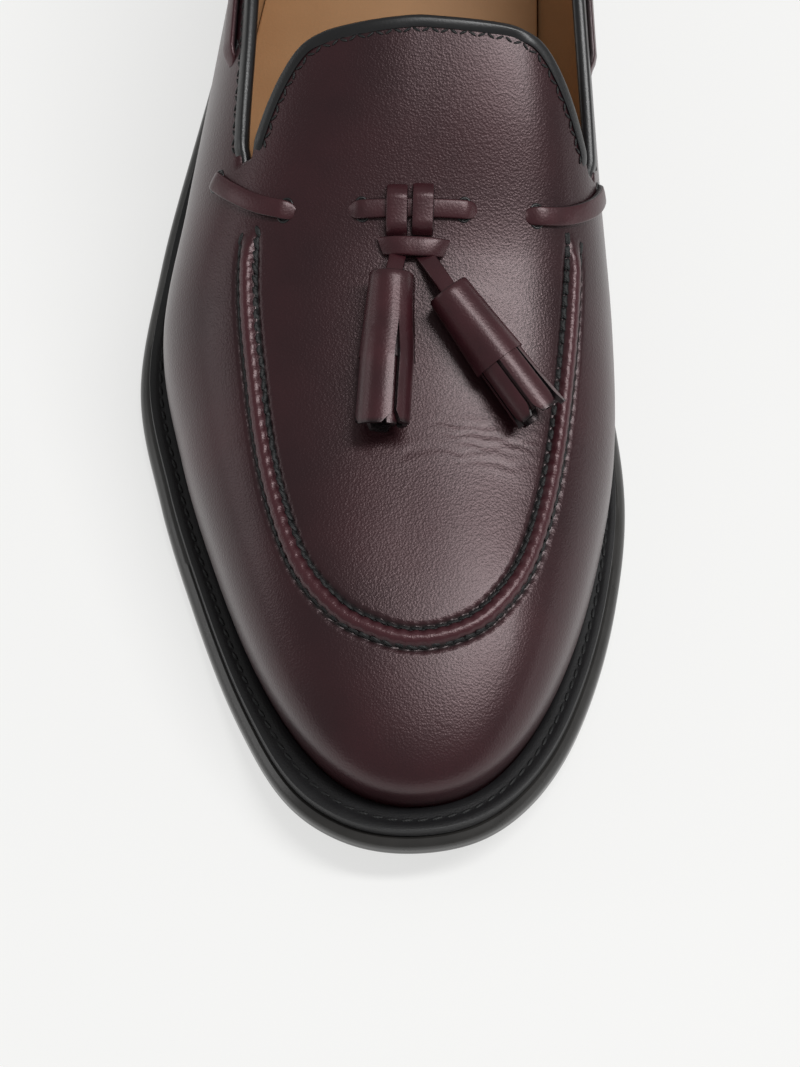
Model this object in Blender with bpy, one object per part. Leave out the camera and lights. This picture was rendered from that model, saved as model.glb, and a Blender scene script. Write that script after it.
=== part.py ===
"""A tassel loafer for the right foot, as the pieces that a shoemaker puts together.

Metres, +Z up. The toe points to -Y, the inner side of the foot is at +X, and the shoe stands on Z = 0
with the origin under the middle of its outline.
"""

import math
from collections import namedtuple

import bpy
import numpy as np
from mathutils import Vector
from mathutils.bvhtree import BVHTree

MM = 0.001

# Driving sizes
LAST_LENGTH = 295 * MM  # the upper's widest contour, heel to toe
BALL_WIDTH = 105 * MM  # the same contour across the ball
INSTEP_HEIGHT = 70 * MM  # top of the tongue above the feather line
HEEL_RISE = 22 * MM  # the sole's underside at the heel seat
TOE_SPRING = 8 * MM
UPPER_WALL = 1.8 * MM
QUARTER_HEIGHT = 56 * MM  # top line above the feather line at the back seam
INSOLE_THICKNESS = 2 * MM  # what stands above the feather line
OUTSOLE_THICKNESS = 6 * MM
WELT_THICKNESS = 3 * MM
WELT_REACH = 6.2 * MM  # welt beyond the feather line at the toe
WELT_LIP = 0.5 * MM
EDGE_ROLL = 1.8 * MM  # outsole's rounded edge beyond the welt
TOP_PIECE_THICKNESS = 6 * MM
RIDGE_WIDTH = 4.4 * MM
RIDGE_HEIGHT = 1.5 * MM
SLIT_WIDTH = 3.2 * MM  # between tongue and quarter at the bottom of the notch
BINDING_THICKNESS = 0.7 * MM
BINDING_DROP = 3 * MM
BINDING_CLEAR = 0.39 * MM  # a leaf off the wall, a little more than GAP because the wall curves
BINDING_TRIM = 0.12  # share of the edge's first and last step that the binding leaves bare
LACE_WIDTH = 4.4 * MM
LACE_THICKNESS = 1.5 * MM
LOOP_LENGTH = 9.4 * MM
LOOP_SHOULDER = 0.16  # share of a loop's length in which it climbs onto the lace
WRAP_LENGTH = 13.5 * MM
TASSEL_LENGTH = 36 * MM
SLEEVE_LENGTH = 20 * MM
SLEEVE_TOP_RADIUS = 4.9 * MM
SLEEVE_END_RADIUS = 6.1 * MM
STRAND_THICKNESS = 1.4 * MM
STRAND_COUNT = 7
STRAND_GAP = 0.22  # share of a strand's pitch
STRAND_POINT = 2.2 * MM  # length of a strand's tapered end
STRAND_POINT_WIDTH = 0.35  # share of the strand's width left at its tip
STRAND_SHORT = 2.5 * MM  # the longest strand's taper starts this far before TASSEL_LENGTH
STRAND_STAGGER = 0.75 * MM  # and each of the next two starts this much earlier
SLEEVE_SOFT = 0.8 * MM  # rounded top edge of a sleeve
NECK_WIDTH = 0.9  # of LACE_WIDTH
GAP = 0.3 * MM  # between pieces that touch

# Columns run round the shoe and rows down its wall
FRONT_COLUMNS = 18
REAR_COLUMNS = 16
TOP_ROWS = 5
SHOULDER_ROWS = 2
QUARTER_ROWS = 4
LOWER_ROWS = 4
ACROSS = 5  # steps across a sole's face
COLUMN_SAMPLES = 200
LACE_STEPS = 8
LOOP_STEPS = 10
WRAP_STEPS = 8
NECK_STEPS = 5
COLLAR_LACE_STEPS = 11
SMOOTH_ANGLE = math.radians(35)  # edges bent by more than this stay sharp
POLE_MERGE = 1.5 * MM  # spine points nearer than this to the toe fan's middle are one point
TOE_FAN = 0.205  # shares of the last's length, from either end to the middle of that end's fan
HEEL_FAN = 0.118
FAN_SHARPNESS = 2.6

# One row per section, as shares: along LAST_LENGTH from the toe; of BALL_WIDTH across to either side of
# the frame's middle; of INSTEP_HEIGHT above the feather line; and the exponents of each side's round.
Form = namedtuple("Form", "along lateral medial spine top widest lateral_round medial_round")
FORM = (
    Form(0.00, 0.045, 0.045, 0.052, 0.20, 0.085, 3.4, 3.4),
    Form(0.01, -0.086, 0.197, 0.052, 0.24, 0.087, 3.4, 3.4),
    Form(0.03, -0.140, 0.266, 0.052, 0.30, 0.090, 3.3, 3.3),
    Form(0.10, -0.248, 0.380, 0.054, 0.41, 0.105, 3.0, 3.0),
    Form(0.20, -0.358, 0.467, 0.058, 0.530, 0.130, 2.8, 2.7),
    Form(0.30, -0.439, 0.512, 0.064, 0.640, 0.165, 2.5, 2.5),
    Form(0.40, -0.484, 0.512, 0.072, 0.785, 0.200, 2.3, 2.8),
    Form(0.50, -0.437, 0.487, 0.080, 0.930, 0.230, 2.1, 3.3),
    Form(0.60, -0.381, 0.467, 0.086, 1.000, 0.250, 2.1, 3.3),
    Form(0.72, -0.314, 0.450, 0.090, 1.050, 0.270, 2.3, 2.8),
    Form(0.85, -0.240, 0.412, 0.090, 1.110, 0.290, 2.5, 2.6),
    Form(0.94, -0.163, 0.341, 0.090, 1.160, 0.300, 2.5, 2.5),
    Form(1.00, 0.090, 0.090, 0.090, 1.170, 0.300, 2.5, 2.5),
)

# The wall below the widest line, as shares of WELT_REACH: how far it tucks in, and how far the welt
# then reaches out again.
Edge = namedtuple("Edge", "along lateral_tuck medial_tuck lateral_reach medial_reach")
EDGE = (
    Edge(0.00, 0.10, 0.10, 1.00, 1.00),
    Edge(0.10, 0.20, 0.25, 0.95, 0.90),
    Edge(0.30, 0.40, 0.60, 0.95, 0.73),
    Edge(0.40, 0.35, 0.95, 0.98, 0.55),
    Edge(0.50, 0.25, 1.25, 0.98, 0.32),
    Edge(0.65, 0.45, 1.45, 0.77, 0.22),
    Edge(0.80, 0.55, 1.00, 0.50, 0.30),
    Edge(0.92, 0.55, 0.60, 0.42, 0.40),
    Edge(1.00, 0.55, 0.55, 0.45, 0.45),
)

# The apron's seam, as shares of the way from the spine out to the widest line, seen from above.
Apron = namedtuple("Apron", "along lateral medial")
APRON = (
    Apron(0.00, 0.484, 0.484),
    Apron(0.03, 0.512, 0.532),
    Apron(0.08, 0.593, 0.618),
    Apron(0.14, 0.670, 0.697),
    Apron(0.20, 0.690, 0.727),
    Apron(0.30, 0.673, 0.746),
    Apron(0.42, 0.650, 0.800),
    Apron(1.00, 0.650, 0.800),
)
APRON_END = 0.425
APRON_FADE = 0.03

# The quarters' top line, as shares of QUARTER_HEIGHT above the feather line.
TopLine = namedtuple("TopLine", "along lateral medial")
TOP_LINE = (
    TopLine(0.00, 0.90, 0.80),
    TopLine(0.48, 0.90, 0.80),
    TopLine(0.56, 0.90, 0.85),
    TopLine(0.64, 0.88, 0.88),
    TopLine(0.74, 0.84, 0.84),
    TopLine(0.84, 0.86, 0.86),
    TopLine(0.93, 0.94, 0.94),
    TopLine(1.00, 1.00, 1.00),
)
NOTCH = 0.478  # share of the last's length
TONGUE_END = 0.552

# Behind the notch the tongue narrows: its half width as a share of that at the notch, and how far
# each section is on the way to the tongue's end.
Tongue = namedtuple("Tongue", "progress width")
TONGUE = (
    Tongue(0.00, 1.00),
    Tongue(0.25, 0.95),
    Tongue(0.50, 0.89),
    Tongue(0.70, 0.825),
    Tongue(0.84, 0.765),
    Tongue(0.93, 0.710),
    Tongue(0.98, 0.650),
    Tongue(1.00, 0.565),
)

# Where laces and tassels lie: share of the last's length, and how far out from the spine towards the
# widest line, lateral side below zero.
Spot = namedtuple("Spot", "along out")
LACE_LEFT = (Spot(0.423, -0.345), Spot(0.436, -0.440), Spot(0.458, -0.550), Spot(0.482, -0.650))
LACE_RIGHT = (Spot(0.420, 0.346), Spot(0.430, 0.460), Spot(0.452, 0.590), Spot(0.484, 0.720))
LACE_FRONT = (
    Spot(0.414, -0.178),
    Spot(0.4115, -0.090),
    Spot(0.4090, 0.0),
    Spot(0.4115, 0.090),
    Spot(0.414, 0.180),
)
COLLAR_LACE_START = 0.572
COLLAR_LACE_END = 0.85
COLLAR_LACE_DROP = 7 * MM
LOOP_LEFT = Spot(0.4075, -0.050)
LOOP_RIGHT = Spot(0.4075, 0.024)
WRAP = Spot(0.3765, 0.0)
TASSEL_LEFT = (Spot(0.352, -0.060), Spot(0.209, -0.098))
TASSEL_RIGHT = (Spot(0.340, 0.095), Spot(0.268, 0.422))

# The sole's underside, as shares of the last's length from the toe.
SPRING_START = 0.26
BREAST_START = 0.38
SEAT_START = 0.77
HEEL_BREAST = 0.745


def shares_to_turns(shares):
    """Turns from the toe: their cosine runs evenly along the last, so every column rounds off its ends."""
    return np.arccos(1 - 2 * np.asarray(shares, float))


def hermite(knots, values, slopes, at):
    k = np.clip(np.searchsorted(knots, at, side="right") - 1, 0, len(knots) - 2)
    width = knots[k + 1] - knots[k]
    u = (at - knots[k]) / width
    rest = 1 - u
    start = rest * rest * ((1 + 2 * u) * values[k] + u * width * slopes[k])
    end = u * u * ((3 - 2 * u) * values[k + 1] - rest * width * slopes[k + 1])
    return start + end


def round_the_shoe(table, lateral, medial):
    """A smooth closed function of the turn: lateral column below zero, medial column above it."""
    turns = shares_to_turns([row.along for row in table])
    left = np.array([getattr(row, lateral) for row in table], float)
    right = np.array([getattr(row, medial) for row in table], float)
    knots = np.concatenate([-turns[:0:-1], turns])
    values = np.concatenate([left[:0:-1], right])
    steps = np.diff(knots)
    rises = np.diff(values) / steps
    before = np.roll(rises, 1)
    before_step = np.roll(steps, 1)
    slopes = (before * steps + rises * before_step) / (steps + before_step)
    slopes = np.append(slopes, slopes[0])

    def at(turn):
        return hermite(knots, values, slopes, np.asarray(turn, float))

    return at


outline = round_the_shoe(FORM, "lateral", "medial")
spine = round_the_shoe(FORM, "spine", "spine")
top = round_the_shoe(FORM, "top", "top")
widest = round_the_shoe(FORM, "widest", "widest")
roundness = round_the_shoe(FORM, "lateral_round", "medial_round")
tuck = round_the_shoe(EDGE, "lateral_tuck", "medial_tuck")
reach = round_the_shoe(EDGE, "lateral_reach", "medial_reach")
apron = round_the_shoe(APRON, "lateral", "medial")
top_line = round_the_shoe(TOP_LINE, "lateral", "medial")

# The sole's edge stands out past the widest line at both ends, and the origin is midway between them.
BEYOND_TOE = WELT_REACH * (EDGE[0].lateral_reach - EDGE[0].lateral_tuck) + WELT_LIP + EDGE_ROLL
BEYOND_HEEL = WELT_REACH * (EDGE[-1].lateral_reach - EDGE[-1].lateral_tuck) + WELT_LIP + EDGE_ROLL
TOE_Y = (BEYOND_TOE - BEYOND_HEEL - LAST_LENGTH) / 2
HEEL_Y = TOE_Y + LAST_LENGTH
FEATHER = OUTSOLE_THICKNESS + GAP + WELT_THICKNESS  # above the sole's underside


def smooth_step(u):
    u = np.clip(u, 0, 1)
    return u * u * (3 - 2 * u)


def share_at(y):
    return (y - TOE_Y) / LAST_LENGTH


def turn_at(y):
    return shares_to_turns(np.clip(share_at(y), 0, 1))


def underside(y):
    """Height of the outsole's underside: toe spring, a flat tread, then the rise to the heel seat."""
    share = share_at(y)
    spring = np.clip((SPRING_START - share) / SPRING_START, 0, None) ** 2
    rise = smooth_step((share - BREAST_START) / (SEAT_START - BREAST_START))
    return TOE_SPRING * spring + HEEL_RISE * rise


def feather(y):
    return underside(y) + FEATHER


def spine_height(y):
    return feather(y) + INSTEP_HEIGHT * top(turn_at(y))


def widest_line(turn):
    x = BALL_WIDTH * outline(turn)
    y = TOE_Y + LAST_LENGTH * (1 - math.cos(turn)) / 2
    return np.array([x, y])


def outward(turn):
    step = 0.001
    along = widest_line(turn + step) - widest_line(turn - step)
    along = along / np.linalg.norm(along)
    return np.array([along[1], -along[0]])


def blend_max(value, least):
    value = max(float(value), 0.0)
    return (value**FAN_SHARPNESS + least**FAN_SHARPNESS) ** (1 / FAN_SHARPNESS)


def middle(turn):
    """Plan point that a column leans on: on the spine, and gathered into a fan round either end."""
    _, y = widest_line(turn)
    from_toe = blend_max(y - TOE_Y, TOE_FAN * LAST_LENGTH)
    from_heel = blend_max(LAST_LENGTH - from_toe, HEEL_FAN * LAST_LENGTH)
    y = HEEL_Y - from_heel
    return np.array([BALL_WIDTH * spine(turn_at(y)), y])


Column = namedtuple("Column", "points way widest feather")


def column(turn):
    """One line down the last's skin, from the spine over the side to the sole, and the way along it."""
    rim = widest_line(turn)
    foot = middle(turn)
    rim_z = feather(rim[1]) + INSTEP_HEIGHT * widest(turn)
    step = 0.5 * MM
    slope = (spine_height(foot[1] + step) - spine_height(foot[1] - step)) / (2 * step)
    foot_z = rim_z + slope * max(0.0, foot[1] - rim[1])
    power = 2 / roundness(turn)
    swing = np.linspace(0, math.pi / 2, COLUMN_SAMPLES)
    out = np.sin(swing) ** power
    up = np.cos(swing) ** power
    up[-1] = 0
    plan = foot + out[:, None] * (rim - foot)
    height = foot_z + out * (rim_z - foot_z) + up * (spine_height(foot[1]) - foot_z)
    upper_part = np.column_stack([plan, height])
    down = np.linspace(0, 1, COLUMN_SAMPLES // 4)
    edge = rim - outward(turn) * WELT_REACH * tuck(turn)
    plan = rim + (down**2)[:, None] * (edge - rim)
    height = rim_z + down * (feather(edge[1]) - rim_z)
    lower_part = np.column_stack([plan, height])
    ground = np.array([[*edge, underside(edge[1]) + OUTSOLE_THICKNESS + GAP]])
    points = np.concatenate([upper_part, lower_part[1:], ground])
    way = np.concatenate([[0], np.cumsum(np.linalg.norm(np.diff(points, axis=0), axis=1))])
    return Column(points, way, way[COLUMN_SAMPLES - 1], way[-2])


def point_on(line, way):
    return np.array([np.interp(way, line.way, line.points[:, axis]) for axis in range(3)])


def way_of_share(line, share):
    """Way along a column to where it has gone that share of its spread, seen from above."""
    spread = line.points[:COLUMN_SAMPLES, :2] - line.points[0, :2]
    full = spread[-1]
    return np.interp(share, spread @ full / (full @ full), line.way[:COLUMN_SAMPLES])


def way_of_top_line(turn, line):
    """Way along a column to the quarters' top line."""
    y = widest_line(turn)[1]
    height = feather(y) + QUARTER_HEIGHT * top_line(turn)
    heights = line.points[:COLUMN_SAMPLES, 2]
    return np.interp(-height, -heights, line.way[:COLUMN_SAMPLES])


def spread_of(line):
    """How far a column goes out to its widest line, seen from above."""
    return np.linalg.norm(line.points[COLUMN_SAMPLES - 1, :2] - line.points[0, :2])


def steps(ways, counts):
    """The ways, with each stretch between two of them cut into its count of even steps."""
    found = [ways[0]]
    for start, end, count in zip(ways, ways[1:], counts):
        found.extend(start + (end - start) * k / count for k in range(1, count + 1))
    return found


NOTCH_TURN = float(shares_to_turns(NOTCH))
TONGUE_TURN = float(shares_to_turns(TONGUE_END))
RIDGE_ROWS = (TOP_ROWS, TOP_ROWS + 1, TOP_ROWS + 2, TOP_ROWS + 3)
TONGUE_ROW = TOP_ROWS + 3 + SHOULDER_ROWS
QUARTER_ROW = TONGUE_ROW + 1
FRONT_COUNTS = (TOP_ROWS, 1, 1, 1, SHOULDER_ROWS, 1, QUARTER_ROWS, LOWER_ROWS, 1)


def ridge_ways(turn, line):
    centre = way_of_share(line, apron(turn))
    half = RIDGE_WIDTH / 2
    return [centre - half, centre - half / 2, centre + half / 2, centre + half]


def notch_share(side):
    """Share of the way from the apron to the widest line at which the notch opens."""
    line = column(side * NOTCH_TURN)
    start = ridge_ways(side * NOTCH_TURN, line)[-1]
    return (way_of_top_line(side * NOTCH_TURN, line) - start) / (line.widest - start)


def front_rows(turn):
    line = column(turn)
    ridge = ridge_ways(turn, line)
    share = SIDE_NOTCH[turn > 0]
    quarter = ridge[-1] + share * (line.widest - ridge[-1])
    ways = [0, *ridge, quarter - SLIT_WIDTH, quarter, line.widest, line.feather, line.way[-1]]
    return line, steps(ways, FRONT_COUNTS)


def tongue_rows(turn):
    """Rows of the tongue, which narrows from the notch to its end."""
    side = math.copysign(1, turn)
    notch_line, ways = front_rows(side * NOTCH_TURN)
    edge = way_to_share(notch_line, ways[TONGUE_ROW]) * spread_of(notch_line)
    progress = (abs(turn) - NOTCH_TURN) / (TONGUE_TURN - NOTCH_TURN)
    stations, widths = zip(*TONGUE)
    line = column(turn)
    width = edge * np.interp(progress, stations, widths)
    end = way_of_share(line, width / spread_of(line))
    return line, [end * way / ways[TONGUE_ROW] for way in ways[: TONGUE_ROW + 1]]


def way_to_share(line, way):
    spread = line.points[:COLUMN_SAMPLES, :2] - line.points[0, :2]
    full = spread[-1]
    return np.interp(way, line.way[:COLUMN_SAMPLES], spread @ full / (full @ full))


def meets(turn):
    """Whether both sides come together there: the tip of the toe or the back of the heel."""
    return turn == 0 or abs(turn) > math.pi - 1e-6


def share_of_turn(turn):
    return (1 - math.cos(turn)) / 2


def quarter_rows(turn):
    line = column(turn)
    ways = [way_of_top_line(turn, line), line.widest, line.feather, line.way[-1]]
    return line, steps(ways, (QUARTER_ROWS, LOWER_ROWS, 1))


SIDE_NOTCH = (notch_share(-1), notch_share(1))
front_turns = [NOTCH_TURN * k / FRONT_COLUMNS for k in range(FRONT_COLUMNS + 1)]
tongue_turns = [NOTCH_TURN + (TONGUE_TURN - NOTCH_TURN) * row.progress for row in TONGUE[1:]]
rear_turns = [
    TONGUE_TURN + (math.pi - TONGUE_TURN) * k / REAR_COLUMNS for k in range(1, REAR_COLUMNS + 1)
]


class Sheet:
    """An open skin of points and faces, wound so that its front faces outwards."""

    def __init__(self):
        self.points = []
        self.faces = []
        self.keys = {}

    def add(self, key, point):
        if key not in self.keys:
            self.keys[key] = len(self.points)
            self.points.append(point)
        return self.keys[key]

    def face(self, *corners):
        corners = [c for k, c in enumerate(corners) if c != corners[k - 1]]
        if len(corners) > 2:
            self.faces.append(corners)

    def normals(self):
        points = np.array(self.points)
        found = np.zeros_like(points)
        for face in self.faces:
            corners = points[face]
            ahead = np.roll(corners, -1, axis=0)
            normal = np.cross(corners, ahead).sum(axis=0)
            found[face] += normal
        return found / np.linalg.norm(found, axis=1)[:, None]

    def rim(self):
        """Directed edges that only one face uses."""
        used = set()
        for face in self.faces:
            for k, corner in enumerate(face):
                used.add((face[k - 1], corner))
        return [edge for edge in used if (edge[1], edge[0]) not in used]


def volume(points, faces):
    points = np.array(points)
    total = 0.0
    for face in faces:
        for near, far in zip(face[1:], face[2:]):
            total += points[face[0]] @ np.cross(points[near], points[far])
    return total / 6


def make_object(name, points, faces, material):
    """A closed solid, turned the right way out whichever way its section was carried."""
    if volume(points, faces) < 0:
        faces = [face[::-1] for face in faces]
    mesh = bpy.data.meshes.new(name)
    mesh.from_pydata([tuple(point) for point in points], [], [list(face) for face in faces])
    mesh.materials.append(material)
    mesh.shade_smooth()
    mesh.set_sharp_from_angle(angle=SMOOTH_ANGLE)
    made = bpy.data.objects.new(name, mesh)
    bpy.context.scene.collection.objects.link(made)
    return made


def thicken(name, sheet, above, below, material):
    """A solid between the sheet moved out by `above` and moved in by `below`, closed round its rim."""
    points = np.array(sheet.points)
    normals = sheet.normals()
    outer = points + normals * np.reshape(above, (-1, 1))
    inner = points - normals * np.reshape(below, (-1, 1))
    count = len(points)
    faces = list(sheet.faces)
    faces += [[corner + count for corner in reversed(face)] for face in sheet.faces]
    faces += [[b, a, a + count, b + count] for a, b in sheet.rim()]
    return make_object(name, np.concatenate([outer, inner]), faces, material)


def upper_sheet():
    """The whole skin of the shoe: front, tongue and quarters. Also the height of the apron's seam."""
    sheet = Sheet()
    seam = {}
    places = {}

    def put(turn, part, row, line, way):
        # Both sides share the spine, the toe and the heel.
        shared = (row == 0 and part == "front") or meets(turn)
        side = 0 if shared else math.copysign(1, turn)
        key = (side, abs(turn), part, row)
        point = point_on(line, way)
        if part == "front" and row == 0 and np.linalg.norm(point - toe_pole) < POLE_MERGE:
            key = "pole"
        found = sheet.add(key, point)
        places[(turn, part, row)] = found
        return found

    toe_pole = column(0.0).points[0]
    for side in (-1, 1):
        bands = []
        for turn in front_turns:
            line, ways = front_rows(side * turn)
            band = [put(side * turn, "front", row, line, way) for row, way in enumerate(ways)]
            fade = smooth_step((APRON_END - share_of_turn(turn)) / APRON_FADE)
            for row in RIDGE_ROWS[1:3]:
                seam[band[row]] = RIDGE_HEIGHT * fade
            bands.append(band)
        quarter_bands = [bands[-1][QUARTER_ROW:]]
        tongue_bands = [bands[-1][: TONGUE_ROW + 1]]
        for turn in tongue_turns:
            line, ways = tongue_rows(side * turn)
            tongue_bands.append(
                [put(side * turn, "front", row, line, way) for row, way in enumerate(ways)]
            )
        for turn in tongue_turns + rear_turns:
            line, ways = quarter_rows(side * turn)
            quarter_bands.append(
                [put(side * turn, "quarter", row, line, way) for row, way in enumerate(ways)]
            )
        for group in (bands, tongue_bands, quarter_bands):
            for near, far in zip(group, group[1:]):
                for row in range(len(near) - 1):
                    corners = (near[row], near[row + 1], far[row + 1], far[row])
                    sheet.face(*(corners if side > 0 else corners[::-1]))
    heights = np.zeros(len(sheet.points))
    for index, height in seam.items():
        heights[index] = height
    return sheet, heights, places


def around(turns, offset, height):
    """Line round the shoe: beyond the widest line by offset(turn), at height(y)."""
    found = []
    for turn in turns:
        spot = widest_line(turn) + outward(turn) * offset(turn)
        found.append([*spot, height(spot[1])])
    return np.array(found)


def pair_up(lateral, medial, height):
    """Rows of points across a face, from each lateral point to its medial partner."""
    rows = []
    for left, right in zip(lateral, medial):
        row = []
        for k in range(ACROSS + 1):
            spot = left + (right - left) * k / ACROSS
            row.append(np.array([spot[0], spot[1], height(spot[1])]) if 0 < k < ACROSS else spot)
        rows.append(row)
    return rows


def slab(name, turns, loops, floor, ceiling, material):
    """A solid between two faces that run across the shoe, with a wall through the given loops.

    Each loop is (offset from the widest line, height), from the floor up.
    """
    sheet = Sheet()
    rings = []
    for offset, height in loops:
        left, right = (around([side * turn for turn in turns], offset, height) for side in (-1, 1))
        rings.append((left, right))
    for level, height in ((0, floor), (len(rings) - 1, ceiling)):
        rows = pair_up(*rings[level], height)
        for j in range(len(rows) - 1):
            for k in range(ACROSS):
                corners = []
                for dj, dk in ((0, 0), (0, 1), (1, 1), (1, 0)):
                    key = cap_key(level, j + dj, k + dk, turns)
                    corners.append(sheet.add(key, rows[j + dj][k + dk]))
                sheet.face(*(corners if level else corners[::-1]))
    for level in range(len(rings) - 1):
        for side in (0, 1):
            for j in range(len(turns) - 1):
                corners = []
                for up, dj in ((0, 0), (0, 1), (1, 1), (1, 0)):
                    key = cap_key(level + up, j + dj, side * ACROSS, turns)
                    corners.append(sheet.add(key, rings[level + up][side][j + dj]))
                sheet.face(*(corners if side else corners[::-1]))
    if turns[0] > 0:
        close_front(sheet, rings, turns)
    return make_object(name, sheet.points, sheet.faces, material)


def cap_key(level, j, k, turns):
    """Both ends of a row are one point where the two sides meet."""
    if meets(turns[j]):
        k = 0
    return (level, j, k)


def close_front(sheet, rings, turns):
    """The flat front of a heel, between its two side edges."""
    rows = []
    for level, (lateral, medial) in enumerate(rings):
        left = lateral[0]
        right = medial[0]
        row = []
        for k in range(ACROSS + 1):
            spot = left + (right - left) * k / ACROSS
            row.append(sheet.add(cap_key(level, 0, k, turns), spot))
        rows.append(row)
    for low, high in zip(rows, rows[1:]):
        for k in range(ACROSS):
            sheet.face(low[k], low[k + 1], high[k + 1], high[k])


def leather(name, colour, roughness):
    made = bpy.data.materials.new(name)
    made.use_nodes = True
    shader = made.node_tree.nodes["Principled BSDF"]
    shader.inputs["Base Color"].default_value = (*colour, 1)
    shader.inputs["Roughness"].default_value = roughness
    made.diffuse_color = (*colour, 1)
    return made


for leftover in list(bpy.data.objects):
    bpy.data.objects.remove(leftover, do_unlink=True)

all_turns = front_turns + tongue_turns + rear_turns

skin, seam_heights, skin_places = upper_sheet()
thicken("upper", skin, seam_heights, UPPER_WALL, leather("burgundy_calf", (0.07, 0.016, 0.02), 0.35))


def feather_line(turn):
    return -WELT_REACH * tuck(turn)


def welt_line(turn):
    return feather_line(turn) + WELT_REACH * reach(turn)


def outsole_top(y):
    return underside(y) + OUTSOLE_THICKNESS


def welt_ring():
    """A closed ring: its section is drawn once and carried round the shoe."""
    sheet = Sheet()
    turns = [-turn for turn in reversed(all_turns)] + all_turns[1:-1]
    low = OUTSOLE_THICKNESS + GAP
    high = low + WELT_THICKNESS
    soft = WELT_THICKNESS / 4
    for j, turn in enumerate(turns):
        inner = feather_line(turn) + GAP
        outer = welt_line(turn)
        section = (
            (inner, low),
            (outer, low),
            (outer, high - soft),
            (outer - soft, high),
            (inner, high),
        )
        for k, (offset, lift) in enumerate(section):
            spot = widest_line(turn) + outward(turn) * offset
            sheet.add((j, k), np.array([*spot, underside(spot[1]) + lift]))
    count = len(turns)
    for j in range(count):
        for k in range(5):
            a, b = (j, k), (j, (k + 1) % 5)
            c, d = ((j + 1) % count, (k + 1) % 5), ((j + 1) % count, k)
            sheet.face(*(sheet.keys[key] for key in (a, d, c, b)))
    return make_object("welt", sheet.points, sheet.faces, leather("welt_black", (0.012, 0.012, 0.013), 0.5))


welt_ring()


def rolled(share):
    def offset(turn):
        return welt_line(turn) + WELT_LIP + EDGE_ROLL * share

    return offset


def lifted(lift):
    def height(y):
        return underside(y) + lift

    return height


slab(
    "outsole",
    all_turns,
    [
        (rolled(-0.2), lifted(0)),
        (rolled(0.7), lifted(OUTSOLE_THICKNESS * 0.16)),
        (rolled(1.0), lifted(OUTSOLE_THICKNESS * 0.45)),
        (rolled(0.75), lifted(OUTSOLE_THICKNESS * 0.8)),
        (rolled(0), lifted(OUTSOLE_THICKNESS)),
    ],
    underside,
    outsole_top,
    leather("outsole_black", (0.010, 0.010, 0.011), 0.4),
)


def inside_line(turn):
    return feather_line(turn) - UPPER_WALL - GAP


insole_low = OUTSOLE_THICKNESS + GAP
insole_high = FEATHER + INSOLE_THICKNESS
slab(
    "insole",
    all_turns,
    [(inside_line, lifted(insole_low)), (inside_line, lifted(insole_high))],
    lifted(insole_low),
    lifted(insole_high),
    leather("insole_tan", (0.45, 0.24, 0.11), 0.6),
)

HEEL_TURN = float(shares_to_turns(HEEL_BREAST))
heel_turns = [HEEL_TURN] + [turn for turn in rear_turns if turn > HEEL_TURN + 0.03]


def level_at(height):
    def flat(y):
        return height

    return flat


slab(
    "heel_block",
    heel_turns,
    [
        (rolled(-0.6), level_at(TOP_PIECE_THICKNESS + GAP)),
        (rolled(-0.45), level_at((HEEL_RISE + TOP_PIECE_THICKNESS) / 2)),
        (rolled(-0.2), lifted(-GAP)),
    ],
    level_at(TOP_PIECE_THICKNESS + GAP),
    lifted(-GAP),
    leather("heel_black", (0.010, 0.010, 0.011), 0.4),
)
slab(
    "heel_top_piece",
    heel_turns,
    [(rolled(-0.62), level_at(0)), (rolled(-0.6), level_at(TOP_PIECE_THICKNESS))],
    level_at(0),
    level_at(TOP_PIECE_THICKNESS),
    leather("top_piece_rubber", (0.015, 0.015, 0.016), 0.6),
)


def skin_point(along, out):
    """Point on the last's skin, by share of length and signed share of the way to the widest line."""
    line = column(math.copysign(float(shares_to_turns(along)), out))
    return point_on(line, abs(out) * line.widest)


def skin_frame(along, out):
    """Point on the skin and the direction that faces away from it."""
    step = 0.004
    ahead = skin_point(along + step, out) - skin_point(along - step, out)
    if abs(out) < step:
        across = skin_point(along, step) - skin_point(along, -step)
    else:
        across = skin_point(along, out + step) - skin_point(along, out - step)
    normal = np.cross(across, ahead)
    return skin_point(along, out), normal / np.linalg.norm(normal)


def unit(vector):
    return vector / np.linalg.norm(vector)


def between(spots, count):
    """Even steps along a smooth line through the spots."""
    table = np.array([tuple(spot) for spot in spots], float)
    knots = np.concatenate([[0], np.cumsum(np.hypot(*(np.diff(table, axis=0) * (1, 0.2)).T))])
    at = np.linspace(0, knots[-1], count)
    columns = []
    for values in table.T:
        slopes = np.gradient(values, knots)
        columns.append(hermite(knots, values, slopes, at))
    return [Spot(*row) for row in zip(*columns)]


def strap(name, frames, width, thickness, material):
    """A flat strip along (point, up) frames, its underside on the points and its top edges softened."""
    points = np.array([point for point, _ in frames])
    sheet = Sheet()
    half = width / 2
    soft = thickness * 0.35
    section = (
        (-half, 0),
        (half, 0),
        (half, thickness - soft),
        (half - soft, thickness),
        (soft - half, thickness),
        (-half, thickness - soft),
    )
    count = len(section)
    tangents = np.gradient(points, axis=0)
    for j, (point, up) in enumerate(frames):
        side = unit(np.cross(tangents[j], up))
        up = unit(np.cross(side, tangents[j]))
        for k, (offset, lift) in enumerate(section):
            sheet.add((j, k), point + side * offset + up * lift)
    last = len(frames) - 1
    for j in range(last):
        for k in range(count):
            near = (j, k), (j, (k + 1) % count)
            far = (j + 1, (k + 1) % count), (j + 1, k)
            sheet.face(*(sheet.keys[key] for key in (*near, *far)))
    for j in (0, last):
        ring = [sheet.keys[(j, k)] for k in range(count)]
        sheet.face(*(ring[::-1] if j == 0 else ring))
    return make_object(name, sheet.points, sheet.faces, material)


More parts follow.
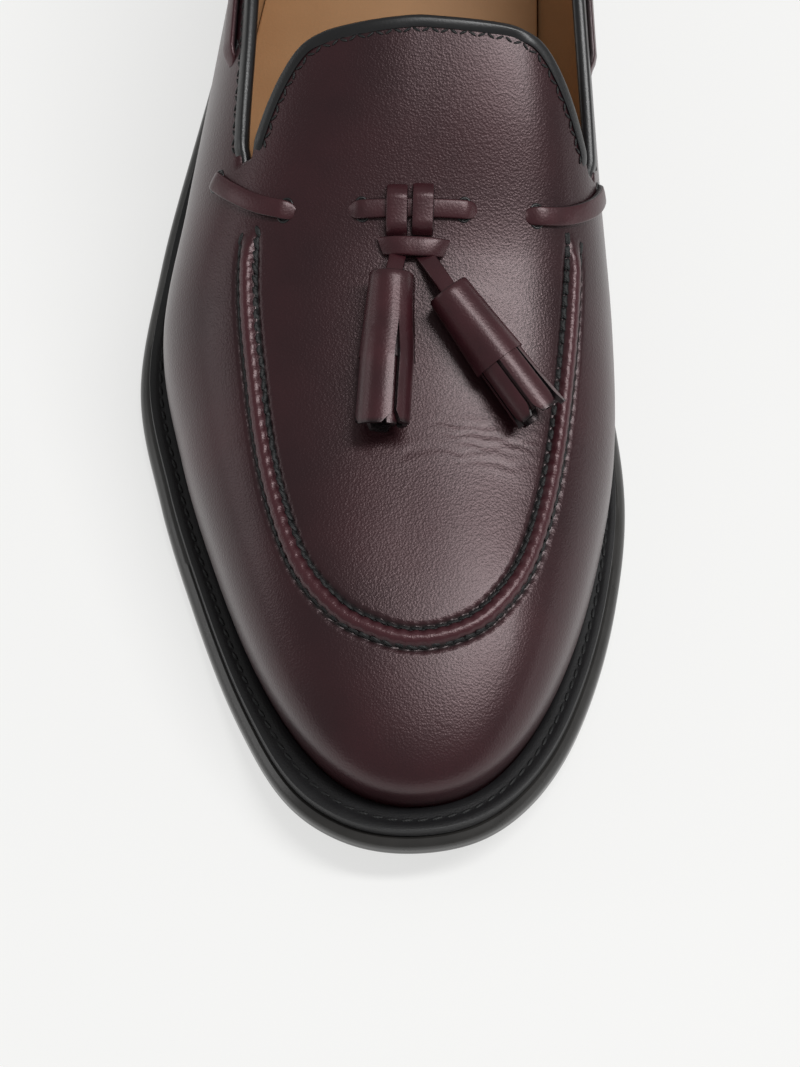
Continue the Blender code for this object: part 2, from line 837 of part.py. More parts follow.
def on_skin(spots, count, lift=None):
    """Frames of a strip of `count` steps that lies on the skin, raised by lift(progress)."""
    frames = []
    for k, spot in enumerate(between(spots, count + 1)):
        point, up = skin_frame(*spot)
        rise = lift(k / count) if lift else 0
        frames.append((point + up * (GAP + rise), up))
    return frames


def edge_binding(name, places, inwards, material):
    """A folded strip over an edge of the upper, clear of both faces of the wall."""
    points = np.array(skin.points)[places]
    normals = skin.normals()[places]
    points[0] += (points[1] - points[0]) * BINDING_TRIM
    points[-1] += (points[-2] - points[-1]) * BINDING_TRIM
    leaf = BINDING_CLEAR
    out = leaf + BINDING_THICKNESS
    far = -UPPER_WALL
    outer = (
        (out, BINDING_DROP),
        (out, -GAP),
        (GAP, -out),
        (far - GAP, -out),
        (far - out, -GAP),
        (far - out, BINDING_DROP),
    )
    inner = (
        (leaf, BINDING_DROP),
        (leaf, -GAP),
        (0, -GAP),
        (far, -GAP),
        (far - leaf, -GAP),
        (far - leaf, BINDING_DROP),
    )
    section = outer + inner[::-1]
    count = len(section)
    ahead = np.diff(points, axis=0)
    ahead /= np.linalg.norm(ahead, axis=1)[:, None]
    ahead = np.concatenate([ahead[:1], (ahead[:-1] + ahead[1:]) / 2, ahead[-1:]])
    mitre = 1 / np.linalg.norm(ahead, axis=1)
    sheet = Sheet()
    middle_place = len(points) // 2
    trial = np.cross(normals[middle_place], ahead[middle_place])
    sign = math.copysign(1, trial @ inwards)
    for j, (point, normal) in enumerate(zip(points, normals)):
        down = sign * mitre[j] * unit(np.cross(normal, ahead[j]))
        for k, (offset, drop) in enumerate(section):
            sheet.add((j, k), point + normal * offset + down * drop)
    last = len(points) - 1
    for j in range(last):
        for k in range(count):
            corners = [
                sheet.keys[key]
                for key in ((j, k), (j, (k + 1) % count), (j + 1, (k + 1) % count), (j + 1, k))
            ]
            sheet.face(*(corners if sign > 0 else corners[::-1]))
    half = count // 2
    for j in (0, last):
        for k in range(half - 1):
            corners = [sheet.keys[(j, c)] for c in (k, k + 1, count - 2 - k, count - 1 - k)]
            sheet.face(*(corners[::-1] if (j == 0) == (sign > 0) else corners))
    return make_object(name, sheet.points, sheet.faces, material)


binding_black = leather("binding_black", (0.012, 0.011, 0.012), 0.4)
lace_leather = leather("lace_burgundy", (0.065, 0.016, 0.020), 0.45)

tongue_edge = [skin_places[(-NOTCH_TURN, "front", TONGUE_ROW)]]
tongue_edge += [skin_places[(-turn, "front", TONGUE_ROW)] for turn in tongue_turns]
tongue_edge += [skin_places[(-TONGUE_TURN, "front", row)] for row in range(TONGUE_ROW - 1, -1, -1)]
tongue_edge += [skin_places[(TONGUE_TURN, "front", row)] for row in range(1, TONGUE_ROW)]
tongue_edge += [skin_places[(turn, "front", TONGUE_ROW)] for turn in reversed(tongue_turns)]
tongue_edge += [skin_places[(NOTCH_TURN, "front", TONGUE_ROW)]]
edge_binding("tongue_binding", tongue_edge, np.array([0, -1.0, -0.5]), binding_black)

collar_turns = tongue_turns + rear_turns
collar_edge = [skin_places[(-NOTCH_TURN, "front", QUARTER_ROW)]]
collar_edge += [skin_places[(-turn, "quarter", 0)] for turn in collar_turns]
collar_edge += [skin_places[(turn, "quarter", 0)] for turn in reversed(collar_turns[:-1])]
collar_edge += [skin_places[(NOTCH_TURN, "front", QUARTER_ROW)]]
edge_binding("collar_binding", collar_edge, np.array([0, 0, -1.0]), binding_black)

for name, spots in (("lace_left", LACE_LEFT), ("lace_right", LACE_RIGHT), ("lace_front", LACE_FRONT)):
    strap(name, on_skin(spots, LACE_STEPS), LACE_WIDTH, LACE_THICKNESS, lace_leather)


def collar_lace(side):
    """Frames of the lace along a quarter, a steady drop below the top line."""
    frames = []
    step = 0.01
    for along in np.linspace(COLLAR_LACE_START, COLLAR_LACE_END, COLLAR_LACE_STEPS + 1):
        turn = side * float(shares_to_turns(along))
        spots = []
        for near in (turn - step, turn, turn + step):
            line = column(near)
            spots.append((line, way_of_top_line(near, line) + COLLAR_LACE_DROP))
        ahead = point_on(*spots[2]) - point_on(*spots[0])
        line, way = spots[1]
        down = point_on(line, way + MM) - point_on(line, way - MM)
        up = unit(np.cross(ahead, down))
        outside = point_on(line, way) - np.array([*middle(turn), point_on(line, way)[2]])
        up = up * math.copysign(1, up @ outside)
        frames.append((point_on(line, way) + up * GAP, up))
    return frames


strap("lace_collar_left", collar_lace(-1), LACE_WIDTH, LACE_THICKNESS, lace_leather)
strap("lace_collar_right", collar_lace(1), LACE_WIDTH, LACE_THICKNESS, lace_leather)


def bridge(progress):
    """A loop's rise over the lace: flat on the skin at both ends, clear of the lace between them."""
    rise = math.sin(math.pi * progress) / math.sin(math.pi * LOOP_SHOULDER)
    return (LACE_THICKNESS + GAP * 1.5) * min(1.0, rise)


def loop(name, spot):
    reach_along = LOOP_LENGTH / LAST_LENGTH / 2
    spots = (Spot(spot.along + reach_along, spot.out), Spot(spot.along - reach_along, spot.out))
    strap(name, on_skin(spots, LOOP_STEPS, bridge), LACE_WIDTH, LACE_THICKNESS, lace_leather)


loop("loop_left", LOOP_LEFT)
loop("loop_right", LOOP_RIGHT)

wrap_point, wrap_up = skin_frame(*WRAP)
wrap_frames = []
for progress in np.linspace(-1, 1, WRAP_STEPS + 1):
    bow = LACE_THICKNESS * (1 - progress**2)
    spot = wrap_point + np.array([progress * WRAP_LENGTH / 2, 0, 0])
    wrap_frames.append((spot + wrap_up * (GAP + bow), wrap_up))
strap("knot_wrap", wrap_frames, LACE_WIDTH, LACE_THICKNESS, lace_leather)

skin_tree = BVHTree.FromPolygons([Vector(p) for p in skin.points], skin.faces)


def tassel(name, spots, twist):
    """A rolled sleeve cut into strands: each strand is drawn out of the sleeve's lower end."""
    start, start_up = skin_frame(*spots[0])
    end, end_up = skin_frame(*spots[1])
    axis = unit(end - start)
    side = unit(np.cross(axis, start_up + end_up))
    up = np.cross(side, axis)
    clear = []
    for share in np.linspace(0, 1, 13):
        radius = SLEEVE_TOP_RADIUS + (SLEEVE_END_RADIUS - SLEEVE_TOP_RADIUS) * min(1, share * 2)
        spot = start + axis * TASSEL_LENGTH * share
        hit = skin_tree.ray_cast(Vector(spot + up * 30 * MM), Vector(-up))[0]
        clear.append(radius + (np.array(hit) - spot) @ up)
    base = start + up * (max(clear) + GAP)
    count = 2 * STRAND_COUNT
    angles = []
    for k in range(STRAND_COUNT):
        angles.append(twist + 2 * math.pi * k / STRAND_COUNT)
        angles.append(twist + 2 * math.pi * (k + 1 - STRAND_GAP) / STRAND_COUNT)
    sheet = Sheet()

    def ring(key, along, radius, at=angles):
        found = []
        for k, angle in enumerate(at):
            spot = base + axis * along + (side * math.cos(angle) + up * math.sin(angle)) * radius
            found.append(sheet.add((key, k), spot))
        return found

    rings = [
        ring("cap", 0, SLEEVE_TOP_RADIUS - SLEEVE_SOFT),
        ring("shoulder", SLEEVE_SOFT, SLEEVE_TOP_RADIUS),
        ring("end", SLEEVE_LENGTH, SLEEVE_END_RADIUS),
        ring("rim", SLEEVE_LENGTH, SLEEVE_END_RADIUS - STRAND_THICKNESS / 3),
        ring("core", SLEEVE_LENGTH, SLEEVE_END_RADIUS - STRAND_THICKNESS * 4 / 3),
    ]
    for near, far in zip(rings, rings[1:]):
        for k in range(count):
            n = (k + 1) % count
            if near is rings[3] and k % 2 == 0:
                continue
            sheet.face(near[k], near[n], far[n], far[k])
    sheet.face(*rings[0][::-1])
    sheet.face(*rings[4])
    for k in range(0, count, 2):
        pair = [angles[k], angles[k + 1]]
        half = STRAND_THICKNESS / 2
        middle_radius = SLEEVE_END_RADIUS - STRAND_THICKNESS * 5 / 6
        shoulder = TASSEL_LENGTH - STRAND_SHORT - STRAND_STAGGER * ((k // 2) % 3)
        levels = [[rings[3][k], rings[3][k + 1], rings[4][k + 1], rings[4][k]]]
        centre = sum(pair) / 2
        narrow = [centre + (angle - centre) * STRAND_POINT_WIDTH for angle in pair]
        for level, (along, at) in enumerate(((shoulder, pair), (shoulder + STRAND_POINT, narrow))):
            outer = ring((k, level, "out"), along, middle_radius + half, at)
            inner = ring((k, level, "in"), along, middle_radius - half, at)
            levels.append([outer[0], outer[1], inner[1], inner[0]])
        for near, far in zip(levels, levels[1:]):
            for c in range(4):
                n = (c + 1) % 4
                sheet.face(near[c], near[n], far[n], far[c])
        sheet.face(*levels[-1])
    make_object(name, sheet.points, sheet.faces, lace_leather)
    return base, axis, up


def neck(name, hold, spot_out):
    """The strap from under the wrap into a sleeve's top."""
    base, axis, up = hold
    start, start_up = skin_frame(WRAP.along - LACE_WIDTH / LAST_LENGTH * 0.8, spot_out)
    start = start + start_up * GAP
    end = base - axis * 3 * GAP - up * LACE_THICKNESS / 2
    frames = []
    for progress in np.linspace(0, 1, NECK_STEPS + 1):
        spot = start + (end - start) * progress
        frames.append((spot, unit(start_up * (1 - progress) + up * progress)))
    strap(name, frames, LACE_WIDTH * NECK_WIDTH, LACE_THICKNESS, lace_leather)


left_hold = tassel("tassel_left", TASSEL_LEFT, math.pi / 2 - math.pi / STRAND_COUNT)
right_hold = tassel("tassel_right", TASSEL_RIGHT, math.pi / 2 - math.pi / STRAND_COUNT * 0.8)
neck("neck_left", left_hold, -0.045)
neck("neck_right", right_hold, 0.03)
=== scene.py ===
"""Dresses the frame of a right-foot tassel loafer: burgundy calf, black bindings, laces, tassels and sole.

Metres, +Z up. The toe points to -Y and the inner side of the foot is at +X.
"""

import math
from collections import namedtuple
from functools import lru_cache

import bmesh
import bpy
import numpy as np
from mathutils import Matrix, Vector
from mathutils.bvhtree import BVHTree


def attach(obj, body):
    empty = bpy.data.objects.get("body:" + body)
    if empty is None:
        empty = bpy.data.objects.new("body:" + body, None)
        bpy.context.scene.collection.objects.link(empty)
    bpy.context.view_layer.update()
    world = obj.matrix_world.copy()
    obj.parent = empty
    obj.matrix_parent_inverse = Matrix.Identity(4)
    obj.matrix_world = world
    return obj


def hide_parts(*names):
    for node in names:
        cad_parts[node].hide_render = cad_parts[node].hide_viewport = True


bl_info = {
    "name": "Tassel Loafer",
    "version": (1, 0, 0),
    "blender": (4, 5, 0),
    "location": "View3D > Sidebar > Loafer",
    "description": "Dresses the frame of a tassel loafer in calf, thread and sole leather",
    "category": "Object",
}

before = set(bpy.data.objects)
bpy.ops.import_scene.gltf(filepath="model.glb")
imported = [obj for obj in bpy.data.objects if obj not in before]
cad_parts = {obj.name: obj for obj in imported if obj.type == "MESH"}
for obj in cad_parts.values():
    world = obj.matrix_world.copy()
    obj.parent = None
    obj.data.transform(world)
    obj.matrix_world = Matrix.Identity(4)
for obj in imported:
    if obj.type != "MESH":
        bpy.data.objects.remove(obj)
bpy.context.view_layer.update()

MM = 0.001

# The last's sizes, as the frame has them
LAST_LENGTH = 295 * MM
BALL_WIDTH = 105 * MM
INSTEP_HEIGHT = 70 * MM
HEEL_RISE = 22 * MM
TOE_SPRING = 8 * MM
QUARTER_HEIGHT = 56 * MM
OUTSOLE_THICKNESS = 6 * MM
WELT_THICKNESS = 3 * MM
WELT_REACH = 6.2 * MM
WELT_LIP = 0.5 * MM
EDGE_ROLL = 1.8 * MM
GAP = 0.3 * MM
UPPER_WALL = 1.8 * MM
CALF_THICKNESS = 1.0 * MM
TOP_PIECE_THICKNESS = 6 * MM
INSOLE_THICKNESS = 2 * MM
RIDGE_WIDTH = 4.4 * MM
SLIT_WIDTH = 3.2 * MM
LACE_WIDTH = 4.4 * MM
LACE_THICKNESS = 1.5 * MM
TOE_FAN = 0.205
HEEL_FAN = 0.118
FAN_SHARPNESS = 2.6
COLUMN_SAMPLES = 260

# Steps of the fine skin; the inner faces take one in INNER_STEP of them
FRONT_COLUMNS = 288
TONGUE_COLUMNS = 48
REAR_COLUMNS = 132
FRONT_COUNTS = (30, 15, 15, 3, 15, 12, 3)
QUARTER_COUNTS = (15, 12, 3)
INNER_STEP = 3
ROW_CLEAR = 1.0 * MM  # least width of the strips beside the ridge's fine rows
POLE_MERGE = 0.4 * MM
TINY = 1e-12
SKIN_MERGE = 0.004 * MM
SOLE_MERGE = 0.002 * MM
GLUE_GAP = 0.08 * MM

Form = namedtuple("Form", "along lateral medial spine top widest lateral_round medial_round")
FORM = (
    Form(0.00, 0.068, 0.068, 0.052, 0.20, 0.085, 3.0, 3.0),
    Form(0.01, -0.042, 0.185, 0.052, 0.24, 0.087, 3.0, 3.0),
    Form(0.03, -0.116, 0.258, 0.052, 0.30, 0.090, 3.0, 3.0),
    Form(0.10, -0.248, 0.380, 0.054, 0.41, 0.105, 3.0, 3.0),
    Form(0.20, -0.358, 0.467, 0.058, 0.530, 0.130, 2.8, 2.7),
    Form(0.30, -0.439, 0.512, 0.064, 0.640, 0.165, 2.5, 2.5),
    Form(0.40, -0.484, 0.512, 0.072, 0.785, 0.200, 2.3, 2.8),
    Form(0.50, -0.437, 0.487, 0.080, 0.930, 0.230, 2.1, 3.3),
    Form(0.60, -0.381, 0.467, 0.086, 1.000, 0.250, 2.1, 3.3),
    Form(0.72, -0.314, 0.450, 0.090, 1.050, 0.270, 2.3, 2.8),
    Form(0.85, -0.240, 0.412, 0.090, 1.110, 0.290, 2.5, 2.6),
    Form(0.94, -0.163, 0.341, 0.090, 1.160, 0.300, 2.5, 2.5),
    Form(1.00, 0.090, 0.090, 0.090, 1.170, 0.300, 2.5, 2.5),
)
Edge = namedtuple("Edge", "along lateral_tuck medial_tuck lateral_reach medial_reach")
EDGE = (
    Edge(0.00, 0.10, 0.10, 1.08, 1.08),
    Edge(0.01, 0.11, 0.12, 1.20, 1.08),
    Edge(0.03, 0.13, 0.15, 1.24, 1.02),
    Edge(0.10, 0.20, 0.25, 0.95, 0.90),
    Edge(0.30, 0.40, 0.60, 0.95, 0.73),
    Edge(0.40, 0.35, 0.95, 0.98, 0.55),
    Edge(0.50, 0.25, 1.25, 0.98, 0.32),
    Edge(0.65, 0.45, 1.45, 0.77, 0.22),
    Edge(0.80, 0.55, 1.00, 0.50, 0.30),
    Edge(0.92, 0.55, 0.60, 0.42, 0.40),
    Edge(1.00, 0.55, 0.55, 0.45, 0.45),
)
Apron = namedtuple("Apron", "along lateral medial")
APRON = (
    Apron(0.00, 0.484, 0.484),
    Apron(0.03, 0.512, 0.532),
    Apron(0.08, 0.593, 0.618),
    Apron(0.14, 0.670, 0.697),
    Apron(0.20, 0.690, 0.727),
    Apron(0.30, 0.673, 0.746),
    Apron(0.42, 0.650, 0.800),
    Apron(1.00, 0.650, 0.800),
)
APRON_END = 0.425
APRON_FADE = 0.03
TopLine = namedtuple("TopLine", "along lateral medial")
TOP_LINE = (
    TopLine(0.00, 0.90, 0.80),
    TopLine(0.48, 0.90, 0.80),
    TopLine(0.56, 0.90, 0.85),
    TopLine(0.64, 0.88, 0.88),
    TopLine(0.74, 0.84, 0.84),
    TopLine(0.84, 0.86, 0.86),
    TopLine(0.93, 0.94, 0.94),
    TopLine(1.00, 1.00, 1.00),
)
NOTCH = 0.478
TONGUE_END = 0.552
Tongue = namedtuple("Tongue", "progress width")
TONGUE = (
    Tongue(0.00, 1.00),
    Tongue(0.25, 0.95),
    Tongue(0.50, 0.89),
    Tongue(0.70, 0.825),
    Tongue(0.84, 0.765),
    Tongue(0.93, 0.710),
    Tongue(0.98, 0.650),
    Tongue(1.00, 0.565),
)
Spot = namedtuple("Spot", "along out")
LACE_LEFT = (Spot(0.423, -0.345), Spot(0.436, -0.440), Spot(0.458, -0.550), Spot(0.482, -0.650))
LACE_RIGHT = (Spot(0.420, 0.346), Spot(0.430, 0.460), Spot(0.452, 0.590), Spot(0.484, 0.720))
LACE_FRONT = (
    Spot(0.414, -0.178),
    Spot(0.4115, -0.090),
    Spot(0.4090, 0.0),
    Spot(0.4115, 0.090),
    Spot(0.414, 0.180),
)
COLLAR_LACE_START = 0.572
COLLAR_LACE_END = 0.85
COLLAR_LACE_DROP = 7 * MM
LOOP_LEFT = Spot(0.4075, -0.050)
LOOP_RIGHT = Spot(0.4075, 0.024)
LOOP_LENGTH = 9.4 * MM
LOOP_SHOULDER = 0.16
WRAP = Spot(0.3765, 0.0)
WRAP_LENGTH = 13.5 * MM
TASSEL_LEFT = (Spot(0.352, -0.060), Spot(0.209, -0.098))
TASSEL_RIGHT = (Spot(0.340, 0.095), Spot(0.268, 0.422))
TASSEL_LENGTH = 36 * MM
SLEEVE_LENGTH = 20 * MM
SLEEVE_TOP_RADIUS = 4.9 * MM
SLEEVE_END_RADIUS = 6.1 * MM
SPRING_START = 0.26
BREAST_START = 0.38
SEAT_START = 0.77
HEEL_BREAST = 0.745

# The camera, matched to the photograph's view of the shoe
CAMERA_AIM = (4.35 * MM, -80.5 * MM, 30 * MM)
CAMERA_DISTANCE = 1.2
CAMERA_ELEVATION = math.radians(60)
CAMERA_LENS = 237.6


def linear(text):
    """An sRGB hex colour as a linear RGBA tuple."""
    parts = [int(text[k : k + 2], 16) / 255 for k in (1, 3, 5)]
    return (*(c / 12.92 if c <= 0.04045 else ((c + 0.055) / 1.055) ** 2.4 for c in parts), 1.0)


def shares_to_turns(shares):
    """Shares of the last's length, from the toe, as turns round a half circle."""
    return np.arccos(1 - 2 * np.asarray(shares, float))


def hermite(knots, values, slopes, at):
    """A smooth curve through the values, with the given slopes."""
    k = np.clip(np.searchsorted(knots, at, side="right") - 1, 0, len(knots) - 2)
    width = knots[k + 1] - knots[k]
    u = (at - knots[k]) / width
    rest = 1 - u
    start = rest * rest * ((1 + 2 * u) * values[k] + u * width * slopes[k])
    end = u * u * ((3 - 2 * u) * values[k + 1] - rest * width * slopes[k + 1])
    return start + end


def run_along(points):
    """Length along a row of points, from its first one."""
    return np.concatenate([[0], np.cumsum(np.linalg.norm(np.diff(points, axis=0), axis=1))])


def unit(vectors):
    return vectors / np.linalg.norm(vectors, axis=-1, keepdims=True)


def round_the_shoe(table, lateral, medial):
    """A smooth closed function of the turn: lateral column below zero, medial column above it."""
    turns = shares_to_turns([row.along for row in table])
    left = np.array([getattr(row, lateral) for row in table], float)
    right = np.array([getattr(row, medial) for row in table], float)
    knots = np.concatenate([-turns[:0:-1], turns])
    values = np.concatenate([left[:0:-1], right])
    steps = np.diff(knots)
    rises = np.diff(values) / steps
    before = np.roll(rises, 1)
    before_step = np.roll(steps, 1)
    slopes = (before * steps + rises * before_step) / (steps + before_step)
    slopes = np.append(slopes, slopes[0])

    def at(turn):
        return hermite(knots, values, slopes, np.asarray(turn, float))

    return at


outline = round_the_shoe(FORM, "lateral", "medial")
spine = round_the_shoe(FORM, "spine", "spine")
top = round_the_shoe(FORM, "top", "top")
widest = round_the_shoe(FORM, "widest", "widest")
roundness = round_the_shoe(FORM, "lateral_round", "medial_round")
tuck = round_the_shoe(EDGE, "lateral_tuck", "medial_tuck")
reach = round_the_shoe(EDGE, "lateral_reach", "medial_reach")
apron = round_the_shoe(APRON, "lateral", "medial")
top_line = round_the_shoe(TOP_LINE, "lateral", "medial")

TOE_OUT = EDGE[0].lateral_reach - EDGE[0].lateral_tuck
HEEL_OUT = EDGE[-1].lateral_reach - EDGE[-1].lateral_tuck
TOE_Y = (WELT_REACH * (TOE_OUT - HEEL_OUT) - LAST_LENGTH) / 2
HEEL_Y = TOE_Y + LAST_LENGTH
FEATHER = OUTSOLE_THICKNESS + GAP + WELT_THICKNESS
NOTCH_TURN = float(shares_to_turns(NOTCH))
TONGUE_TURN = float(shares_to_turns(TONGUE_END))


def smooth_step(u):
    u = np.clip(u, 0, 1)
    return u * u * (3 - 2 * u)


def turn_at(y):
    return shares_to_turns(np.clip((y - TOE_Y) / LAST_LENGTH, 0, 1))


def underside(y):
    share = (y - TOE_Y) / LAST_LENGTH
    spring = np.clip((SPRING_START - share) / SPRING_START, 0, None) ** 2
    rise = smooth_step((share - BREAST_START) / (SEAT_START - BREAST_START))
    return TOE_SPRING * spring + HEEL_RISE * rise


def feather(y):
    return underside(y) + FEATHER


def spine_height(y):
    return feather(y) + INSTEP_HEIGHT * top(turn_at(y))


def widest_line(turn):
    return np.array([BALL_WIDTH * outline(turn), TOE_Y + LAST_LENGTH * (1 - math.cos(turn)) / 2])


def outward(turn):
    """The way out of the shoe, square to the widest line."""
    step = 0.001
    along = unit(widest_line(turn + step) - widest_line(turn - step))
    return np.array([along[1], -along[0]])


def blend_max(value, least):
    """The larger of the two, with a soft passage between them."""
    value = max(float(value), 0.0)
    return (value**FAN_SHARPNESS + least**FAN_SHARPNESS) ** (1 / FAN_SHARPNESS)


def middle(turn):
    """Plan point that a column leans on: on the spine, and gathered into a fan round either end."""
    from_toe = blend_max(widest_line(turn)[1] - TOE_Y, TOE_FAN * LAST_LENGTH)
    from_heel = blend_max(LAST_LENGTH - from_toe, HEEL_FAN * LAST_LENGTH)
    y = HEEL_Y - from_heel
    return np.array([BALL_WIDTH * spine(turn_at(y)), y])


Column = namedtuple("Column", "points way widest feather")


@lru_cache(maxsize=None)
def column(turn):
    """One line down the last's skin, from the spine over the side to the sole, and the way along it."""
    rim = widest_line(turn)
    foot = middle(turn)
    rim_z = feather(rim[1]) + INSTEP_HEIGHT * widest(turn)
    step = 0.5 * MM
    slope = (spine_height(foot[1] + step) - spine_height(foot[1] - step)) / (2 * step)
    foot_z = rim_z + slope * max(0.0, foot[1] - rim[1])
    power = 2 / roundness(turn)
    swing = np.linspace(0, math.pi / 2, COLUMN_SAMPLES)
    out = np.sin(swing) ** power
    up = np.cos(swing) ** power
    up[-1] = 0
    plan = foot + out[:, None] * (rim - foot)
    height = foot_z + out * (rim_z - foot_z) + up * (spine_height(foot[1]) - foot_z)
    upper_part = np.column_stack([plan, height])
    down = np.linspace(0, 1, COLUMN_SAMPLES // 4)
    edge = rim - outward(turn) * WELT_REACH * tuck(turn)
    plan = rim + (down**2)[:, None] * (edge - rim)
    height = rim_z + down * (feather(edge[1]) - rim_z)
    lower_part = np.column_stack([plan, height])
    ground = np.array([[*edge, underside(edge[1]) + OUTSOLE_THICKNESS + GAP]])
    points = np.concatenate([upper_part, lower_part[1:], ground])
    way = run_along(points)
    return Column(points, way, way[COLUMN_SAMPLES - 1], way[-2])


def points_on(line, ways):
    return np.column_stack([np.interp(ways, line.way, line.points[:, axis]) for axis in range(3)])


def spread_shares(line):
    """How far out each point of a column's upper part is, from 0 on the spine to 1 at the widest line."""
    spread = line.points[:COLUMN_SAMPLES, :2] - line.points[0, :2]
    full = spread[-1]
    return spread @ full / (full @ full)


def way_of_share(line, share):
    return float(np.interp(share, spread_shares(line), line.way[:COLUMN_SAMPLES]))


def way_to_share(line, way):
    return float(np.interp(way, line.way[:COLUMN_SAMPLES], spread_shares(line)))


def spread_of(line):
    return float(np.linalg.norm(line.points[COLUMN_SAMPLES - 1, :2] - line.points[0, :2]))


def way_of_top_line(turn, line):
    height = feather(widest_line(turn)[1]) + QUARTER_HEIGHT * top_line(turn)
    return float(np.interp(-height, -line.points[:COLUMN_SAMPLES, 2], line.way[:COLUMN_SAMPLES]))


def steps(ways, counts):
    """The ways with their gaps cut into the given counts."""
    found = [ways[0]]
    for start, end, count in zip(ways, ways[1:], counts):
        found.extend(start + (end - start) * k / count for k in range(1, count + 1))
    return np.array(found)


def ridge_centre(turn):
    line = column(turn)
    return way_of_share(line, float(apron(turn)))


def notch_share(side):
    """Where the quarter's edge meets the notch, as a share of the way from the ridge to the widest line."""
    line = column(side * NOTCH_TURN)
    start = ridge_centre(side * NOTCH_TURN) + RIDGE_WIDTH / 2
    return (way_of_top_line(side * NOTCH_TURN, line) - start) / (line.widest - start)


SIDE_NOTCH = {-1: notch_share(-1), 1: notch_share(1)}
RIDGE_END = float(shares_to_turns(APRON_END))
THREAD_END = float(shares_to_turns(APRON_END - APRON_FADE * 0.25))
RIDGE_BAND = 0.95  # half width of the fine rows, as a share of the ridge's width


def front_ways(turn, side):
    """Rows of a front column. A wider band than the ridge itself takes the fine rows."""
    line = column(turn)
    centre = ridge_centre(turn)
    band = RIDGE_WIDTH * RIDGE_BAND
    edge = centre + RIDGE_WIDTH / 2
    quarter = edge + SIDE_NOTCH[side] * (line.widest - edge)
    tongue = quarter - SLIT_WIDTH
    clear = 1 - smooth_step((abs(turn) - RIDGE_END) / (NOTCH_TURN - RIDGE_END))
    outer = centre + band
    kept = max(tongue, outer + ROW_CLEAR)
    quarter += (max(quarter, kept + ROW_CLEAR) - quarter) * clear
    outer += (tongue - ROW_CLEAR / 2 - outer) * (1 - clear)
    tongue += (kept - tongue) * clear
    ways = [0, centre - band, outer, tongue, quarter, line.widest, line.feather]
    return line, steps([*ways, line.way[-1]], FRONT_COUNTS)


TONGUE_ROW = sum(FRONT_COUNTS[:3])
QUARTER_ROW = TONGUE_ROW + FRONT_COUNTS[3]


def tongue_width(progress):
    stations, widths = (np.array(values) for values in zip(*TONGUE))
    return float(hermite(stations, widths, np.gradient(widths, stations), progress))


def tongue_ways(turn, side):
    """Rows of a tongue column, which narrow with the tongue."""
    notch_line, ways = front_ways(side * NOTCH_TURN, side)
    edge = way_to_share(notch_line, ways[TONGUE_ROW]) * spread_of(notch_line)
    progress = (abs(turn) - NOTCH_TURN) / (TONGUE_TURN - NOTCH_TURN)
    line = column(turn)
    end = way_of_share(line, edge * tongue_width(progress) / spread_of(line))
    return line, ways[: TONGUE_ROW + 1] * end / ways[TONGUE_ROW]


def quarter_ways(turn):
    line = column(turn)
    ways = [way_of_top_line(turn, line), line.widest, line.feather, line.way[-1]]
    return line, steps(ways, QUARTER_COUNTS)


def turn_steps(start, end, count):
    return [start + (end - start) * k / count for k in range(count + 1)]


FRONT_TURNS = turn_steps(0.0, NOTCH_TURN, FRONT_COLUMNS)
TONGUE_TURNS = turn_steps(NOTCH_TURN, TONGUE_TURN, TONGUE_COLUMNS)
QUARTER_TURNS = TONGUE_TURNS + turn_steps(TONGUE_TURN, math.pi, REAR_COLUMNS)[1:]


def patch_normals(points, side):
    """Outward normals of a patch of columns and rows."""
    normals = np.cross(np.gradient(points, axis=1), np.gradient(points, axis=0)) * side
    return normals / np.maximum(np.linalg.norm(normals, axis=2, keepdims=True), TINY)


class Patch:
    """A grid of skin points on one side of the shoe, with its ways and turns."""

    def __init__(self, part, side, turns):
        self.part = part
        self.side = side
        self.turns = np.array(turns)
        rows = []
        ways = []
        for turn in turns:
            if part == "front":
                line, along = front_ways(side * turn, side)
            elif part == "tongue":
                line, along = tongue_ways(side * turn, side)
            else:
                line, along = quarter_ways(side * turn)
            rows.append(points_on(line, along))
            ways.append(along)
        self.base = np.array(rows)
        self.ways = np.array(ways)
        self.normals = patch_normals(self.base, side)
        if part != "quarter":
            self.smooth_spine()
        self.points = self.base.copy()
        self.mask = np.zeros(self.ways.shape)
        self.groove = np.zeros(self.ways.shape)

    def smooth_spine(self):
        """The spine's own normals: level across, square to the spine's line."""
        pole = np.linalg.norm(self.base[:, 0] - column(0.0).points[0], axis=1) < POLE_MERGE
        slope = np.gradient(self.base[:, 0], axis=0)
        up = np.column_stack([np.zeros(len(slope)), -slope[:, 2], slope[:, 1]])
        size = np.linalg.norm(up, axis=1, keepdims=True)
        usable = ~pole & (size[:, 0] > 1e-9)
        self.normals[usable, 0] = (up / np.maximum(size, TINY))[usable]
        first = np.argmax(usable)
        self.normals[~usable, 0] = self.normals[first, 0]


@lru_cache(maxsize=None)
def skin():
    patches = []
    for side in (-1, 1):
        patches.append(Patch("front", side, FRONT_TURNS))
        patches.append(Patch("tongue", side, TONGUE_TURNS))
        patches.append(Patch("quarter", side, QUARTER_TURNS))
    return patches


def patch_named(part, side):
    return next(p for p in skin() if p.part == part and p.side == side)


